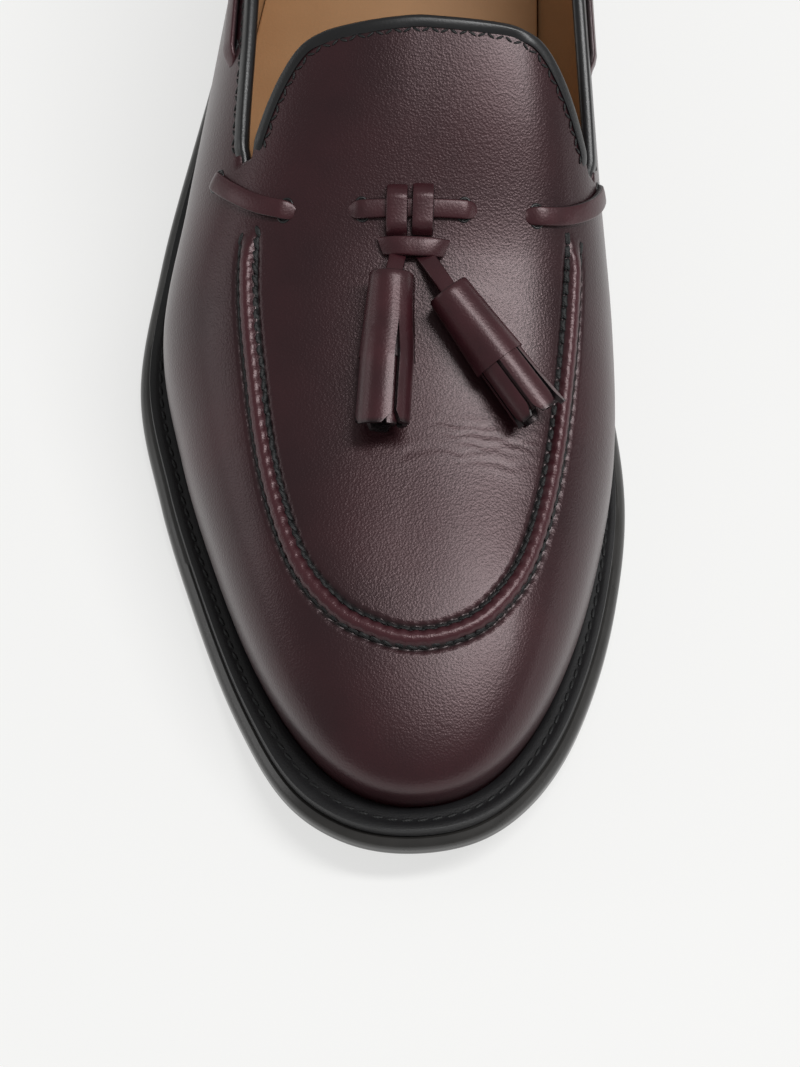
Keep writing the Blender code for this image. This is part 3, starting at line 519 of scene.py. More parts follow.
# Relief of the calf, in the shoe's own sizes
STITCH_PITCH = 3.0 * MM
RIDGE_HEIGHT = 1.5 * MM
RIDGE_PINCH = 0.26  # share of the ridge's half width that a stitch pulls in
GROOVE_DEPTH = 0.55 * MM
GROOVE_WIDTH = 0.7 * MM
GROOVE_OFF = 0.25 * MM
GRAIN_CELL = 0.52 * MM  # real box calf is about half as coarse, too fine for the render to show
Crease = namedtuple("Crease", "x y length depth width slope bow")
CREASES = (
    Crease(22, -64.2, 24, 0.06, 0.6, 0.05, 0.8),
    Crease(25, -66.6, 24, 0.09, 0.5, -0.02, 1.0),
    Crease(27, -68.4, 20, 0.08, 0.45, 0.03, 0.8),
    Crease(20, -70.2, 18, 0.05, 0.6, 0.06, 0.8),
    Crease(26, -72.6, 20, 0.04, 0.7, 0.02, 1.0),
    Crease(31, -59.0, 14, 0.06, 0.8, 0.20, 0.8),
    Crease(32, -54.0, 12, 0.05, 0.8, 0.25, 0.6),
    Crease(-24, -66.0, 22, 0.04, 1.3, -0.06, 1.2),
    Crease(6, -70.5, 16, 0.04, 1.0, 0.00, 0.6),
)
FLEX_PLACE = -63  # mm, where the vamp bends
FLEX_REACH = 15
CREASE_BANK = 1.9  # widths from a trough to the low ridge beside it


def crease_depth(points):
    """Soft troughs with a low ridge on either side, across the vamp where it bends."""
    found = np.zeros(points.shape[:-1])
    for row in CREASES:
        across = (points[..., 0] / MM - row.x) / (row.length / 2)
        centre = row.y + row.slope * across * row.length / 2 + row.bow * (across**2 - 0.3)
        wander = 0.5 * np.sin(across * 5.0 + row.y) + 0.25 * np.sin(across * 11.0 + row.x)
        near = (points[..., 1] / MM - centre - wander) / row.width
        fade = np.clip(1 - across**2, 0, None) ** 0.75
        banks = np.exp(-((near - CREASE_BANK) ** 2)) + np.exp(-((near + CREASE_BANK) ** 2))
        found += row.depth * MM * fade * (np.exp(-(near**2)) - 0.45 * banks)
    return found


@lru_cache(maxsize=None)
def ridge_run():
    """Length along the ridge's centre for each front turn, from the toe."""
    runs = {}
    for side in (-1, 1):
        turns = [side * turn for turn in FRONT_TURNS]
        runs[side] = run_along([points_on(column(turn), [ridge_centre(turn)])[0] for turn in turns])
    return runs


def ridge_fade(turns):
    shares = (1 - np.cos(turns)) / 2
    return smooth_step((APRON_END - shares) / APRON_FADE)


def raise_ridge(patch):
    """Lifts the apron's seam into a rolled ridge that each stitch pinches, with a groove on both sides."""
    centres = np.array([ridge_centre(patch.side * turn) for turn in patch.turns])
    run = ridge_run()[patch.side][:, None]
    off = patch.ways - centres[:, None]
    fade = ridge_fade(patch.turns)[:, None]
    beat = 0.5 + 0.5 * np.cos(2 * math.pi * run / STITCH_PITCH + np.where(off > 0, 1.2, 0.0))
    inner = np.where(off < 0, 1.0, 0.45)
    half = RIDGE_WIDTH / 2 * (1 - RIDGE_PINCH * beat * inner)
    u = np.abs(off) / half
    dome = np.clip(1 - u**2.4, 0, None) ** 0.8
    valley = np.exp(-(((np.abs(off) - RIDGE_WIDTH / 2 - GROOVE_OFF) / GROOVE_WIDTH) ** 2))
    lift = RIDGE_HEIGHT * dome - GROOVE_DEPTH * valley * (0.75 + 0.5 * beat)
    patch.points += patch.normals * (lift * fade)[..., None]
    # The dome mask also marks where the material paints a highlight on the ridge
    patch.mask = dome * fade
    # The groove mask also marks where the material paints shade into the grooves
    patch.groove = valley * fade


@lru_cache(maxsize=None)
def relief():
    """The patches with their ridge and creases worked in."""
    for patch in skin():
        if patch.part == "front":
            raise_ridge(patch)
        depth = crease_depth(patch.base) * (1 - patch.mask)
        patch.points -= patch.normals * depth[..., None]
    return skin()


def numbered(first, columns, rows):
    """Point numbers of a grid of columns and rows."""
    return first + np.arange(columns * rows).reshape(columns, rows)


def grid_faces(index, side):
    """Quads of a grid of point numbers, turned outwards on either side of the shoe."""
    corners = [index[:-1, :-1], index[:-1, 1:], index[1:, 1:], index[1:, :-1]]
    quads = np.stack(corners, axis=-1).reshape(-1, 4)
    return (quads if side > 0 else quads[:, ::-1]).tolist()


def tube_faces(rings, count, looped=False):
    """Quads between the rings of a tube. A looped one joins its last ring to its first."""
    faces = []
    for j in range(rings if looped else rings - 1):
        n = (j + 1) % rings
        for k in range(count):
            m = (k + 1) % count
            faces.append([j * count + k, j * count + m, n * count + m, n * count + k])
    return faces


def end_faces(rings, count):
    """The two faces that close a tube's ends."""
    return [list(range(count))[::-1], [(rings - 1) * count + k for k in range(count)]]


def shell_mesh(name, lift, drop, stride):
    """A closed wall between the skin raised by `lift` and sunk by `drop`, with a coarser inner face.

    A stride of one takes the relief with it. A longer one follows the plain last.
    """
    points = []
    faces = []
    masks = []
    grooves = []
    count = 0
    ratio = INNER_STEP // stride
    for patch in relief():
        face = patch.points if stride == 1 else patch.base
        outer = (face + patch.normals * lift)[::stride, ::stride]
        inner = (patch.base - patch.normals * drop)[::INNER_STEP, ::INNER_STEP]
        outside = numbered(count, *outer.shape[:2])
        inside = numbered(count + outside.size, *inner.shape[:2])
        count += outside.size + inside.size
        points += [outer.reshape(-1, 3), inner.reshape(-1, 3)]
        for values, kept in ((patch.mask, masks), (patch.groove, grooves)):
            kept += [values[::stride, ::stride].ravel(), np.zeros(inside.size)]
        faces += grid_faces(outside, patch.side) + grid_faces(inside, -patch.side)
        for edge in OPEN_EDGES[patch.part]:
            faces += rim_faces(edge, outside, inside, ratio, patch.side)
    mesh = new_mesh(name, np.concatenate(points), faces)
    label_points(mesh, "ridge", np.concatenate(masks))
    label_points(mesh, "groove", np.concatenate(grooves))
    return finished(mesh, merge=SKIN_MERGE)


OPEN_EDGES = {
    "front": ("last_row", "notch"),
    "tongue": ("last_row", "last_column"),
    "quarter": ("first_row", "last_row"),
}


def rim_faces(edge, outside, inside, ratio, side):
    """Faces that close a wall along one open edge, with `ratio` outer steps to each inner one."""
    low = TONGUE_ROW // INNER_STEP
    high = QUARTER_ROW // INNER_STEP
    long, short = {
        "last_row": (outside[:, -1], inside[:, -1]),
        "first_row": (outside[:, 0], inside[:, 0]),
        "last_column": (outside[-1], inside[-1]),
        "notch": (outside[-1, low * ratio : high * ratio + 1], inside[-1, low : high + 1]),
    }[edge]
    found = []
    for k in range(len(short) - 1):
        face = [*long[k * ratio : (k + 1) * ratio + 1], short[k + 1], short[k]]
        if (edge == "last_row") == (side < 0):
            face = face[::-1]
        found.append([int(v) for v in face])
    return found


def new_mesh(name, points, faces):
    mesh = bpy.data.meshes.new(name)
    mesh.from_pydata(np.asarray(points).tolist(), [], faces)
    return mesh


def label_points(mesh, label, values):
    """Stores a number for each point, for a material to read."""
    layer = mesh.attributes.new(label, "FLOAT", "POINT")
    layer.data.foreach_set("value", np.asarray(values, np.float32))


def finished(mesh, merge=None, sharp=None):
    """Merges near points where a distance is given, turns the faces outwards and smooths their shading."""
    work = bmesh.new()
    work.from_mesh(mesh)
    if merge:
        bmesh.ops.remove_doubles(work, verts=work.verts, dist=merge)
    bmesh.ops.recalc_face_normals(work, faces=work.faces)
    work.to_mesh(mesh)
    work.free()
    mesh.shade_smooth()
    if sharp:
        mesh.set_sharp_from_angle(angle=math.radians(sharp))
    return mesh


def show(name, mesh, material, nodes=()):
    """Adds a finished piece to the scene and ties it to the frame."""
    made = bpy.data.objects.new(name, mesh)
    bpy.context.scene.collection.objects.link(made)
    mesh.materials.clear()
    mesh.materials.append(material)
    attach(made, "root")
    if nodes:
        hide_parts(*nodes)


@lru_cache(maxsize=None)
def skin_tree():
    """The finished outer skin, to lay laces and stitches on."""
    points = []
    faces = []
    count = 0
    for patch in relief():
        index = numbered(count, *patch.points.shape[:2])
        points.append(patch.points.reshape(-1, 3))
        faces += grid_faces(index, patch.side)
        count += index.size
    return BVHTree.FromPolygons(np.concatenate(points).tolist(), faces)


def lay(points, lift):
    """Each point's nearest place on the skin, lifted off it, and the skin's normal there."""
    found = []
    ups = []
    for point in points:
        place, normal, _, _ = skin_tree().find_nearest(Vector(point))
        found.append(np.array(place) + np.array(normal) * lift)
        ups.append(np.array(normal))
    return np.array(found), np.array(ups)


def skin_point(along, out):
    """A place on the last: a share of its length, and a share of the way from spine to widest line."""
    line = column(math.copysign(float(shares_to_turns(along)), out))
    return points_on(line, [abs(out) * line.widest])[0]


def skin_frame(along, out):
    """The same place with its outward normal."""
    step = 0.004
    ahead = skin_point(along + step, out) - skin_point(along - step, out)
    if abs(out) < step:
        across = skin_point(along, step) - skin_point(along, -step)
    else:
        across = skin_point(along, out + step) - skin_point(along, out - step)
    return skin_point(along, out), unit(np.cross(across, ahead))


def between(spots, count):
    """Even samples of a smooth curve through a few spots."""
    table = np.array(spots, float)
    knots = np.concatenate([[0], np.cumsum(np.hypot(*(np.diff(table, axis=0) * (1, 0.2)).T))])
    at = np.linspace(0, knots[-1], count)
    columns = [hermite(knots, values, np.gradient(values, knots), at) for values in table.T]
    return [Spot(*row) for row in zip(*columns)]


def sweep(name, frames, section, closed=False, widths=None):
    """A bar of the given closed section (across, up) along (point, up) frames, with caps and a UV map.

    The map runs 0 to 1 round the section and in metres along the bar.
    """
    points = np.array([point for point, _ in frames])
    if closed:
        tangents = np.roll(points, -1, axis=0) - np.roll(points, 1, axis=0)
    else:
        tangents = np.gradient(points, axis=0)
    if widths is None:
        widths = np.ones(len(points))
    section = np.array(section)
    count = len(section)
    rings = []
    for (point, up), tangent, width in zip(frames, tangents, widths):
        side = unit(np.cross(tangent, up))
        rise = unit(np.cross(side, tangent))
        rings.append(point + side * section[:, :1] * width + rise * section[:, 1:])
    faces = tube_faces(len(rings), count, closed)
    if not closed:
        faces += end_faces(len(rings), count)
    mesh = new_mesh(name, np.concatenate(rings), faces)
    run = run_along(points)
    layer = mesh.uv_layers.new(name="strip")
    for face in mesh.polygons:
        corners = [(v % count, v // count) for v in face.vertices]
        wraps = {k for k, _ in corners} == {0, count - 1}
        for loop, (k, j) in zip(face.loop_indices, corners):
            layer.data[loop].uv = (1.0 if wraps and k == 0 else k / count, run[j])
    return finished(mesh, sharp=50)


STRAP_SOFT = 0.3  # edge radius, as a share of the thickness
STRAP_CROWN = 0.12 * MM
CORNER_STEPS = 3
STRAP_POINTS = 4 * (CORNER_STEPS + 1) + 3
FACE_FIRST = 3.5  # the points between these two lie on a strap's face
FACE_LAST = 12.5


def strap_section(width):
    """A flat strip's section from its underside up, with rounded edges and a crowned face."""
    radius = LACE_THICKNESS * STRAP_SOFT
    side = width / 2 - radius
    high = LACE_THICKNESS - radius
    found = []
    for x, y, start in ((side, radius, -90), (side, high, 0), (-side, high, 90), (-side, radius, 180)):
        for k in range(CORNER_STEPS + 1):
            angle = math.radians(start + 90 * k / CORNER_STEPS)
            found.append((x + radius * math.cos(angle), y + radius * math.sin(angle)))
        if start == 0:
            crown = [(s, STRAP_CROWN * (1 - s * s)) for s in (0.5, 0.0, -0.5)]
            found += [(width / 2 * s, LACE_THICKNESS + rise) for s, rise in crown]
    return found


def joined(name, meshes):
    """One mesh of several, with their UV maps and attributes."""
    work = bmesh.new()
    for mesh in meshes:
        work.from_mesh(mesh)
    mesh = bpy.data.meshes.new(name)
    work.to_mesh(mesh)
    work.free()
    for used in meshes:
        bpy.data.meshes.remove(used)
    return mesh


def add(tree, kind, settings=(), inputs=()):
    """Adds a node and sets its inputs. A socket, or a node with its first output, is linked instead."""
    made = tree.nodes.new(kind)
    for name, value in dict(settings).items():
        setattr(made, name, value)
    for name, value in dict(inputs).items():
        if isinstance(value, bpy.types.Node):
            value = value.outputs[0]
        if isinstance(value, bpy.types.NodeSocket):
            tree.links.new(value, made.inputs[name])
        else:
            made.inputs[name].default_value = value
    return made


FINISH_IOR = 1.5  # of glazing, wax and rubber alike


def finish_of(name, roughness, coat=0.0, coat_roughness=0.3, tint=(1, 1, 1, 1)):
    """A new material with its tree and its Principled shader."""
    made = bpy.data.materials.new(name)
    made.use_nodes = True
    shader = made.node_tree.nodes["Principled BSDF"]
    shader.inputs["Roughness"].default_value = roughness
    shader.inputs["IOR"].default_value = FINISH_IOR
    shader.inputs["Coat Weight"].default_value = coat
    shader.inputs["Coat Roughness"].default_value = coat_roughness
    shader.inputs["Specular Tint"].default_value = tint
    return made, made.node_tree, shader


def wire(tree, shader, colour, bump, rough=None):
    """Links a finish's colour, relief and roughness into its shader."""
    tree.links.new(colour, shader.inputs["Base Color"])
    tree.links.new(bump.outputs[0], shader.inputs["Normal"])
    if rough:
        tree.links.new(rough.outputs[0], shader.inputs["Roughness"])


def grain(tree, cell, depth, strength=0.6, creases=0.0):
    """Pebbled leather grain: cells of a real size as bump, with finer pores over them."""
    place = add(tree, "ShaderNodeTexCoord").outputs["Object"]
    bent = add(tree, "ShaderNodeTexNoise", inputs={"Vector": place, "Scale": 0.35 / cell}).outputs["Color"]
    settings = {"operation": "MULTIPLY_ADD"}
    shift = add(tree, "ShaderNodeVectorMath", settings, {0: bent, 1: (cell,) * 3, 2: place})
    sizes = {"Vector": shift, "Scale": 1 / cell, "Smoothness": 0.4}
    cells = add(tree, "ShaderNodeTexVoronoi", {"feature": "SMOOTH_F1"}, sizes)
    fine = add(tree, "ShaderNodeTexNoise", inputs={"Vector": place, "Scale": 3 / cell, "Detail": 2.0})
    height = add(tree, "ShaderNodeMath", settings, {0: fine, 1: 0.35, 2: cells})
    if creases:
        stretch = add(tree, "ShaderNodeMapping", inputs={"Vector": shift, "Scale": (0.22, 1.0, 0.6)})
        sizes = {"Vector": stretch, "Scale": 0.55 / cell, "Detail": 3.0, "Roughness": 0.6}
        folds = add(tree, "ShaderNodeTexNoise", inputs=sizes)
        flex = add(tree, "ShaderNodeAttribute", {"attribute_name": "flex"}).outputs["Fac"]
        amount = add(tree, "ShaderNodeMath", {"operation": "MULTIPLY"}, {0: flex, 1: creases})
        height = add(tree, "ShaderNodeMath", settings, {0: folds, 1: amount, 2: height})
    bump = add(tree, "ShaderNodeBump", inputs={"Strength": strength, "Distance": depth, "Height": height})
    return place, bump, cells


def blend(tree, fraction, first, second):
    """A colour between two, by a fraction."""
    return add(tree, "ShaderNodeMix", {"data_type": "RGBA"}, {0: fraction, 6: first, 7: second}).outputs[2]


@lru_cache(maxsize=None)
def calf_upper():
    """Burgundy box calf, drum dyed, glazed and waxed: soft satin gloss over a fine tight grain.

    Painted shade darkens the seam's grooves; a painted highlight makes the ridge's dome lighter and redder.
    """
    look = bpy.context.scene.loafer
    made, tree, shader = finish_of("burgundy_box_calf", 0.36, 0.2, 0.26, look.gloss)
    place, bump, cells = grain(tree, look.grain_cell, 0.08 * MM, 0.65, creases=1.5)
    sizes = {"Vector": place, "Scale": 26.0, "Detail": 3.0, "Roughness": 0.55}
    clouds = add(tree, "ShaderNodeTexNoise", inputs=sizes)
    soft = add(tree, "ShaderNodeMapRange", inputs={"Value": clouds, "From Min": 0.35, "From Max": 0.7})
    colour = blend(tree, soft, look.calf_dark, look.calf)
    pores = add(tree, "ShaderNodeMapRange", inputs={"Value": cells, "From Max": 0.75, "To Max": 0.35})
    colour = blend(tree, pores, colour, look.calf_dark)
    # Painted highlight: the ridge's dome is blended towards a lighter, redder burgundy
    ridge = add(tree, "ShaderNodeAttribute", {"attribute_name": "ridge"}).outputs["Fac"]
    rubbed = add(tree, "ShaderNodeMath", {"operation": "MULTIPLY"}, {0: ridge, 1: 0.75})
    colour = blend(tree, rubbed, colour, look.calf_light_and_ridge_highlight)
    # Painted shade: the grooves beside the ridge are blended towards the thread's near-black
    groove = add(tree, "ShaderNodeAttribute", {"attribute_name": "groove"}).outputs["Fac"]
    deep = add(tree, "ShaderNodeMapRange", inputs={"Value": groove, "From Min": 0.25, "From Max": 0.8})
    colour = blend(tree, deep, colour, look.thread)
    sizes = {"Value": clouds, "From Min": 0.3, "From Max": 0.75, "To Min": 0.30, "To Max": 0.37}
    wire(tree, shader, colour, bump, add(tree, "ShaderNodeMapRange", inputs=sizes))
    return made


def plain_leather(name, light, dark, roughness, cell, depth, coat=0.0, blotch=40.0):
    """A leather or rubber of two close shades.

    Its grain is drawn about twice as coarse as the real one, so that it shows.
    """
    made, tree, shader = finish_of(name, roughness, coat)
    place, bump, _ = grain(tree, cell, depth)
    clouds = add(tree, "ShaderNodeTexNoise", inputs={"Vector": place, "Scale": blotch, "Detail": 3.0})
    span = {"Value": clouds, "To Min": roughness - 0.07, "To Max": roughness + 0.07}
    wire(tree, shader, blend(tree, clouds, dark, light), bump, add(tree, "ShaderNodeMapRange", inputs=span))
    return made


@lru_cache(maxsize=None)
def lace_calf():
    """Burgundy calf thong, cut in strips and edge inked: satin faces with near-black edges."""
    look = bpy.context.scene.loafer
    made, tree, shader = finish_of("burgundy_calf_thong", 0.36, 0.2, 0.26, look.gloss)
    place, bump, _ = grain(tree, 0.6 * MM, 0.06 * MM)
    clouds = add(tree, "ShaderNodeTexNoise", inputs={"Vector": place, "Scale": 120.0, "Detail": 3.0})
    face = blend(tree, clouds, look.calf_dark, look.calf_light_and_ridge_highlight)
    edge = add(tree, "ShaderNodeAttribute", {"attribute_name": "edge"}).outputs["Fac"]
    wire(tree, shader, blend(tree, edge, face, look.black), bump)
    return made


@lru_cache(maxsize=None)
def binding_calf():
    """Black skived calf binding, folded over the edge and glazed: a bright line on its roll."""
    look = bpy.context.scene.loafer
    sizes = {"cell": 0.5 * MM, "depth": 0.035 * MM, "coat": 0.25, "blotch": 90.0}
    return plain_leather("black_binding_calf", look.black_light, look.black, 0.36, **sizes)


@lru_cache(maxsize=None)
def lining_calf():
    """Vegetable-tanned calf lining, undyed: matt tan with soft clouds."""
    look = bpy.context.scene.loafer
    return plain_leather("tan_lining_calf", look.lining, look.lining_dark, 0.62, 0.7 * MM, 0.04 * MM)


@lru_cache(maxsize=None)
def welt_leather():
    """Black waxed welt strip, wheeled and rubbed: low satin with a close fibrous surface."""
    look = bpy.context.scene.loafer
    sizes = {"cell": 0.45 * MM, "depth": 0.06 * MM, "coat": 0.05, "blotch": 140.0}
    return plain_leather("black_waxed_welt", look.black_light, look.black, 0.5, **sizes)


@lru_cache(maxsize=None)
def sole_edge():
    """Black sole edge, sanded, inked and burnished with wax: satin, brighter on its round."""
    look = bpy.context.scene.loafer
    sizes = {"cell": 0.4 * MM, "depth": 0.02 * MM, "coat": 0.35, "blotch": 160.0}
    return plain_leather("black_burnished_edge", look.edge_light, look.edge, 0.3, **sizes)


@lru_cache(maxsize=None)
def top_rubber():
    """Moulded black rubber top piece: matt, with a fine sanded face."""
    look = bpy.context.scene.loafer
    sizes = {"cell": 0.35 * MM, "depth": 0.03 * MM, "blotch": 200.0}
    return plain_leather("black_moulded_rubber", look.black_light, look.black, 0.68, **sizes)


@lru_cache(maxsize=None)
def waxed_thread():
    """Black waxed linen thread, two strands twisted: dull black with a slanting ply."""
    look = bpy.context.scene.loafer
    made, tree, shader = finish_of("black_waxed_thread", 0.6, 0.04)
    place = add(tree, "ShaderNodeTexCoord").outputs["Object"]
    sizes = {"Vector": place, "Scale": 900.0, "Distortion": 2.0}
    ply = add(tree, "ShaderNodeTexWave", {"bands_direction": "DIAGONAL"}, sizes).outputs["Fac"]
    bump = add(tree, "ShaderNodeBump", inputs={"Strength": 0.5, "Distance": 0.1 * MM, "Height": ply})
    wire(tree, shader, blend(tree, ply, look.thread, look.black_light), bump)
    return made


@lru_cache(maxsize=None)
def stitch_tree():
    """Stitches along a path of points that carry the skin's normal as `up`."""
    tree = bpy.data.node_groups.new("stitch_run", "GeometryNodeTree")
    face = tree.interface
    face.new_socket("Path", in_out="INPUT", socket_type="NodeSocketGeometry")
    sizes = {"Pitch": 3 * MM, "Length": 2.6 * MM, "Width": 0.8 * MM, "Height": 0.6 * MM}
    sizes |= {"Slant": 0.0, "Zigzag": 0.0}
    for label, value in sizes.items():
        face.new_socket(label, in_out="INPUT", socket_type="NodeSocketFloat").default_value = value
    face.new_socket("Thread", in_out="INPUT", socket_type="NodeSocketMaterial")
    face.new_socket("Stitches", in_out="OUTPUT", socket_type="NodeSocketGeometry")
    given = add(tree, "NodeGroupInput").outputs
    curve = add(tree, "GeometryNodeMeshToCurve", inputs={"Mesh": given["Path"]})
    spacing = {"Curve": curve, "Length": given["Pitch"]}
    points = add(tree, "GeometryNodeResampleCurve", {"mode": "LENGTH"}, spacing)
    bead = add(tree, "GeometryNodeMeshUVSphere", inputs={"Segments": 8, "Rings": 6, "Radius": 0.5})
    spans = {0: given["Length"], 1: given["Width"], 2: given["Height"]}
    size = add(tree, "ShaderNodeCombineXYZ", inputs=spans)
    stitch = add(tree, "GeometryNodeTransform", inputs={"Geometry": bead, "Scale": size})
    tangent = add(tree, "GeometryNodeInputTangent")
    ahead = add(tree, "FunctionNodeAlignRotationToVector", {"axis": "X"}, {"Vector": tangent})
    normal = add(tree, "GeometryNodeInputNamedAttribute", {"data_type": "FLOAT_VECTOR"}, {"Name": "up"})
    axes = {"axis": "Z", "pivot_axis": "X"}
    risen = add(tree, "FunctionNodeAlignRotationToVector", axes, {"Rotation": ahead, "Vector": normal})
    index = add(tree, "GeometryNodeInputIndex")
    odd = add(tree, "ShaderNodeMath", {"operation": "MODULO"}, {0: index, 1: 2.0})
    swing = add(tree, "ShaderNodeMath", {"operation": "MULTIPLY"}, {0: odd, 1: given["Zigzag"]})
    sign = add(tree, "ShaderNodeMath", {"operation": "MULTIPLY_ADD"}, {0: swing, 1: -2.0, 2: 1.0})
    angle = add(tree, "ShaderNodeMath", {"operation": "MULTIPLY"}, {0: given["Slant"], 1: sign})
    twist = add(tree, "FunctionNodeAxisAngleToRotation", inputs={"Axis": (0, 0, 1), "Angle": angle})
    turned = add(tree, "FunctionNodeRotateRotation", {"rotation_space": "LOCAL"}, {0: risen, 1: twist})
    placing = {"Points": points, "Instance": stitch, "Rotation": turned}
    placed = add(tree, "GeometryNodeInstanceOnPoints", inputs=placing)
    real = add(tree, "GeometryNodeRealizeInstances", inputs={"Geometry": placed})
    smooth = add(tree, "GeometryNodeSetShadeSmooth", inputs={"Geometry": real})
    dyed = add(tree, "GeometryNodeSetMaterial", inputs={"Geometry": smooth, "Material": given["Thread"]})
    add(tree, "NodeGroupOutput", inputs={"Stitches": dyed})
    return tree


def stitch_mesh(points, ups, closed=False, **sizes):
    """The stitches along one path, as a plain mesh."""
    path = bpy.data.meshes.new("path")
    edges = [(k, k + 1) for k in range(len(points) - 1)]
    if closed:
        edges.append((len(points) - 1, 0))
    path.from_pydata(np.asarray(points).tolist(), edges, [])
    layer = path.attributes.new("up", "FLOAT_VECTOR", "POINT")
    layer.data.foreach_set("vector", np.asarray(ups, np.float32).ravel())
    holder = bpy.data.objects.new("path", path)
    bpy.context.scene.collection.objects.link(holder)
    modifier = holder.modifiers.new("stitches", "NODES")
    tree = stitch_tree()
    modifier.node_group = tree
    sockets = {item.name: item.identifier for item in tree.interface.items_tree if item.in_out == "INPUT"}
    for label, value in sizes.items():
        modifier[sockets[label]] = value
    modifier[sockets["Thread"]] = waxed_thread()
    graph = bpy.context.evaluated_depsgraph_get()
    mesh = bpy.data.meshes.new_from_object(holder.evaluated_get(graph), depsgraph=graph)
    bpy.data.objects.remove(holder)
    bpy.data.meshes.remove(path)
    return mesh


def make_upper():
    mesh = shell_mesh("upper_calf_mesh", 0.0, CALF_THICKNESS, 1)
    x, y, _ = np.array([vertex.co for vertex in mesh.vertices]).T / MM
    inner_side = 0.25 + 0.75 * smooth_step((x + 2) / 24)
    label_points(mesh, "flex", np.exp(-(((y - FLEX_PLACE) / FLEX_REACH) ** 2)) * inner_side)
    show("upper_calf", mesh, calf_upper(), ["upper"])


def make_lining():
    mesh = shell_mesh("lining_mesh", -CALF_THICKNESS - GLUE_GAP, UPPER_WALL, INNER_STEP)
    show("quarter_and_vamp_lining", mesh, lining_calf())


BINDING_DROP = 2.0 * MM
BINDING_LEAF = 0.6 * MM
BINDING_TUCK = 1.1 * MM  # how far a binding's ends sink between tongue and quarter
BINDING_TUCK_RUN = 5 * MM
BINDING_ROUND = 1.0 * MM
STITCH_INSET = 2.55 * MM
BINDING_FIT = 0.02 * MM
THREAD_OFF = 0.15 * MM
THREAD_SUNK = 0.05 * MM
THREAD_PROUD = 0.12 * MM
ROW_MARGIN = 4  # points of a binding's edge left free of stitches at each end


def edge_line(part):
    """The tongue's or the collar's edge, from the lateral notch round to the medial one, and the way in."""
    left = patch_named(part, -1)
    right = patch_named(part, 1)
    if part == "quarter":
        points = [left.base[:, 0], right.base[-2::-1, 0]]
        ups = [left.normals[:, 0], right.normals[-2::-1, 0]]
        return np.concatenate(points), np.concatenate(ups), np.array([0, 0, -1.0])
    points = [left.base[:, -1], left.base[-1, -2::-1], right.base[-1, 1:-1], right.base[::-1, -1]]
    ups = [left.normals[:, -1], left.normals[-1, -2::-1], right.normals[-1, 1:-1], right.normals[::-1, -1]]
    return np.concatenate(points), np.concatenate(ups), np.array([0, -1.0, -0.5])


def eased_line(part, rounds):
    """A part's edge with its points a millimetre apart and its corners eased, and the way in at each."""
    points, ups, inwards = edge_line(part)
    run = run_along(points)
    at = np.linspace(0, run[-1], max(2, int(run[-1] / MM)))
    points = np.column_stack([np.interp(at, run, points[:, axis]) for axis in range(3)])
    ups = unit(np.column_stack([np.interp(at, run, ups[:, axis]) for axis in range(3)]))
    for _ in range(rounds):
        for values in (points, ups):
            values[1:-1] = (values[:-2] + 2 * values[1:-1] + values[2:]) / 4
    ups = unit(ups)
    sides = unit(np.cross(np.gradient(points, axis=0), ups))
    return points, ups, sides, math.copysign(1, sides[len(points) // 2] @ inwards)


def binding_section(sign):
    """A folded strip over the wall's edge: straight leaves and a round fold."""
    half = UPPER_WALL / 2 + BINDING_LEAF
    back = -UPPER_WALL - BINDING_FIT
    found = [(BINDING_DROP, BINDING_FIT), (BINDING_DROP, BINDING_LEAF * 0.55)]
    found += [(BINDING_DROP - 0.4 * MM, BINDING_LEAF)]
    for angle in np.linspace(0, math.pi, 11):
        found.append((-BINDING_ROUND * math.sin(angle), half * math.cos(angle) - UPPER_WALL / 2))
    found += [(BINDING_DROP, -UPPER_WALL - BINDING_LEAF), (BINDING_DROP, back)]
    found += [(-0.05 * MM, back), (-0.05 * MM, BINDING_FIT)]
    return [(across * sign, up) for across, up in found]


def make_bindings():
    for part, name in (("tongue", "tongue_binding"), ("quarter", "collar_binding")):
        points, ups, _, sign = eased_line(part, 4)
        run = np.minimum(np.arange(len(points)), np.arange(len(points))[::-1]) * MM
        points = points - ups * (BINDING_TUCK * (1 - smooth_step(run / BINDING_TUCK_RUN)))[:, None]
        mesh = sweep(name + "_mesh", list(zip(points, ups)), binding_section(sign))
        show(name + "_calf", mesh, binding_calf(), [name])


def make_edge_stitches():
    """The overcast row beside each binding."""
    meshes = []
    sizes = {"Pitch": 2.1 * MM, "Length": 2.0 * MM, "Width": 0.62 * MM, "Height": 0.5 * MM}
    for part in ("tongue", "quarter"):
        points, _, sides, sign = eased_line(part, 14)
        row = (points + sides * sign * STITCH_INSET)[ROW_MARGIN:-ROW_MARGIN]
        meshes.append(stitch_mesh(*lay(row, THREAD_PROUD), Slant=0.5, Zigzag=1.0, **sizes))
    show("edge_stitches", joined("edge_stitches_mesh", meshes), waxed_thread())


def make_apron_stitches():
    """Two rope-like rows of waxed thread in the grooves beside the apron's ridge."""
    meshes = []
    half = [turn for turn in FRONT_TURNS if turn <= THREAD_END]
    turns = [-turn for turn in half[::-1]] + half[1:]
    for shift, width, slant in ((-1, 1.3, 0.42), (1, 1.1, -0.35)):
        off = shift * (RIDGE_WIDTH / 2 + THREAD_OFF)
        line = [points_on(column(turn), [ridge_centre(turn) + off])[0] for turn in turns]
        points, ups = lay(line, -THREAD_SUNK)
        sizes = {"Pitch": STITCH_PITCH, "Length": STITCH_PITCH * 1.05}
        sizes |= {"Width": width * MM, "Height": 0.8 * MM}
        for begin, turned in ((0, slant), (3, -slant * 0.4)):
            meshes.append(stitch_mesh(points[begin:], ups[begin:], Slant=turned, **sizes))
    show("apron_stitches", joined("apron_stitches_mesh", meshes), waxed_thread())


def inked(around):
    """How much ink a point of a strap's section has, by its share round it: none on the face."""
    place = around * STRAP_POINTS
    return 0.0 if FACE_FIRST < place < FACE_LAST else 1.0


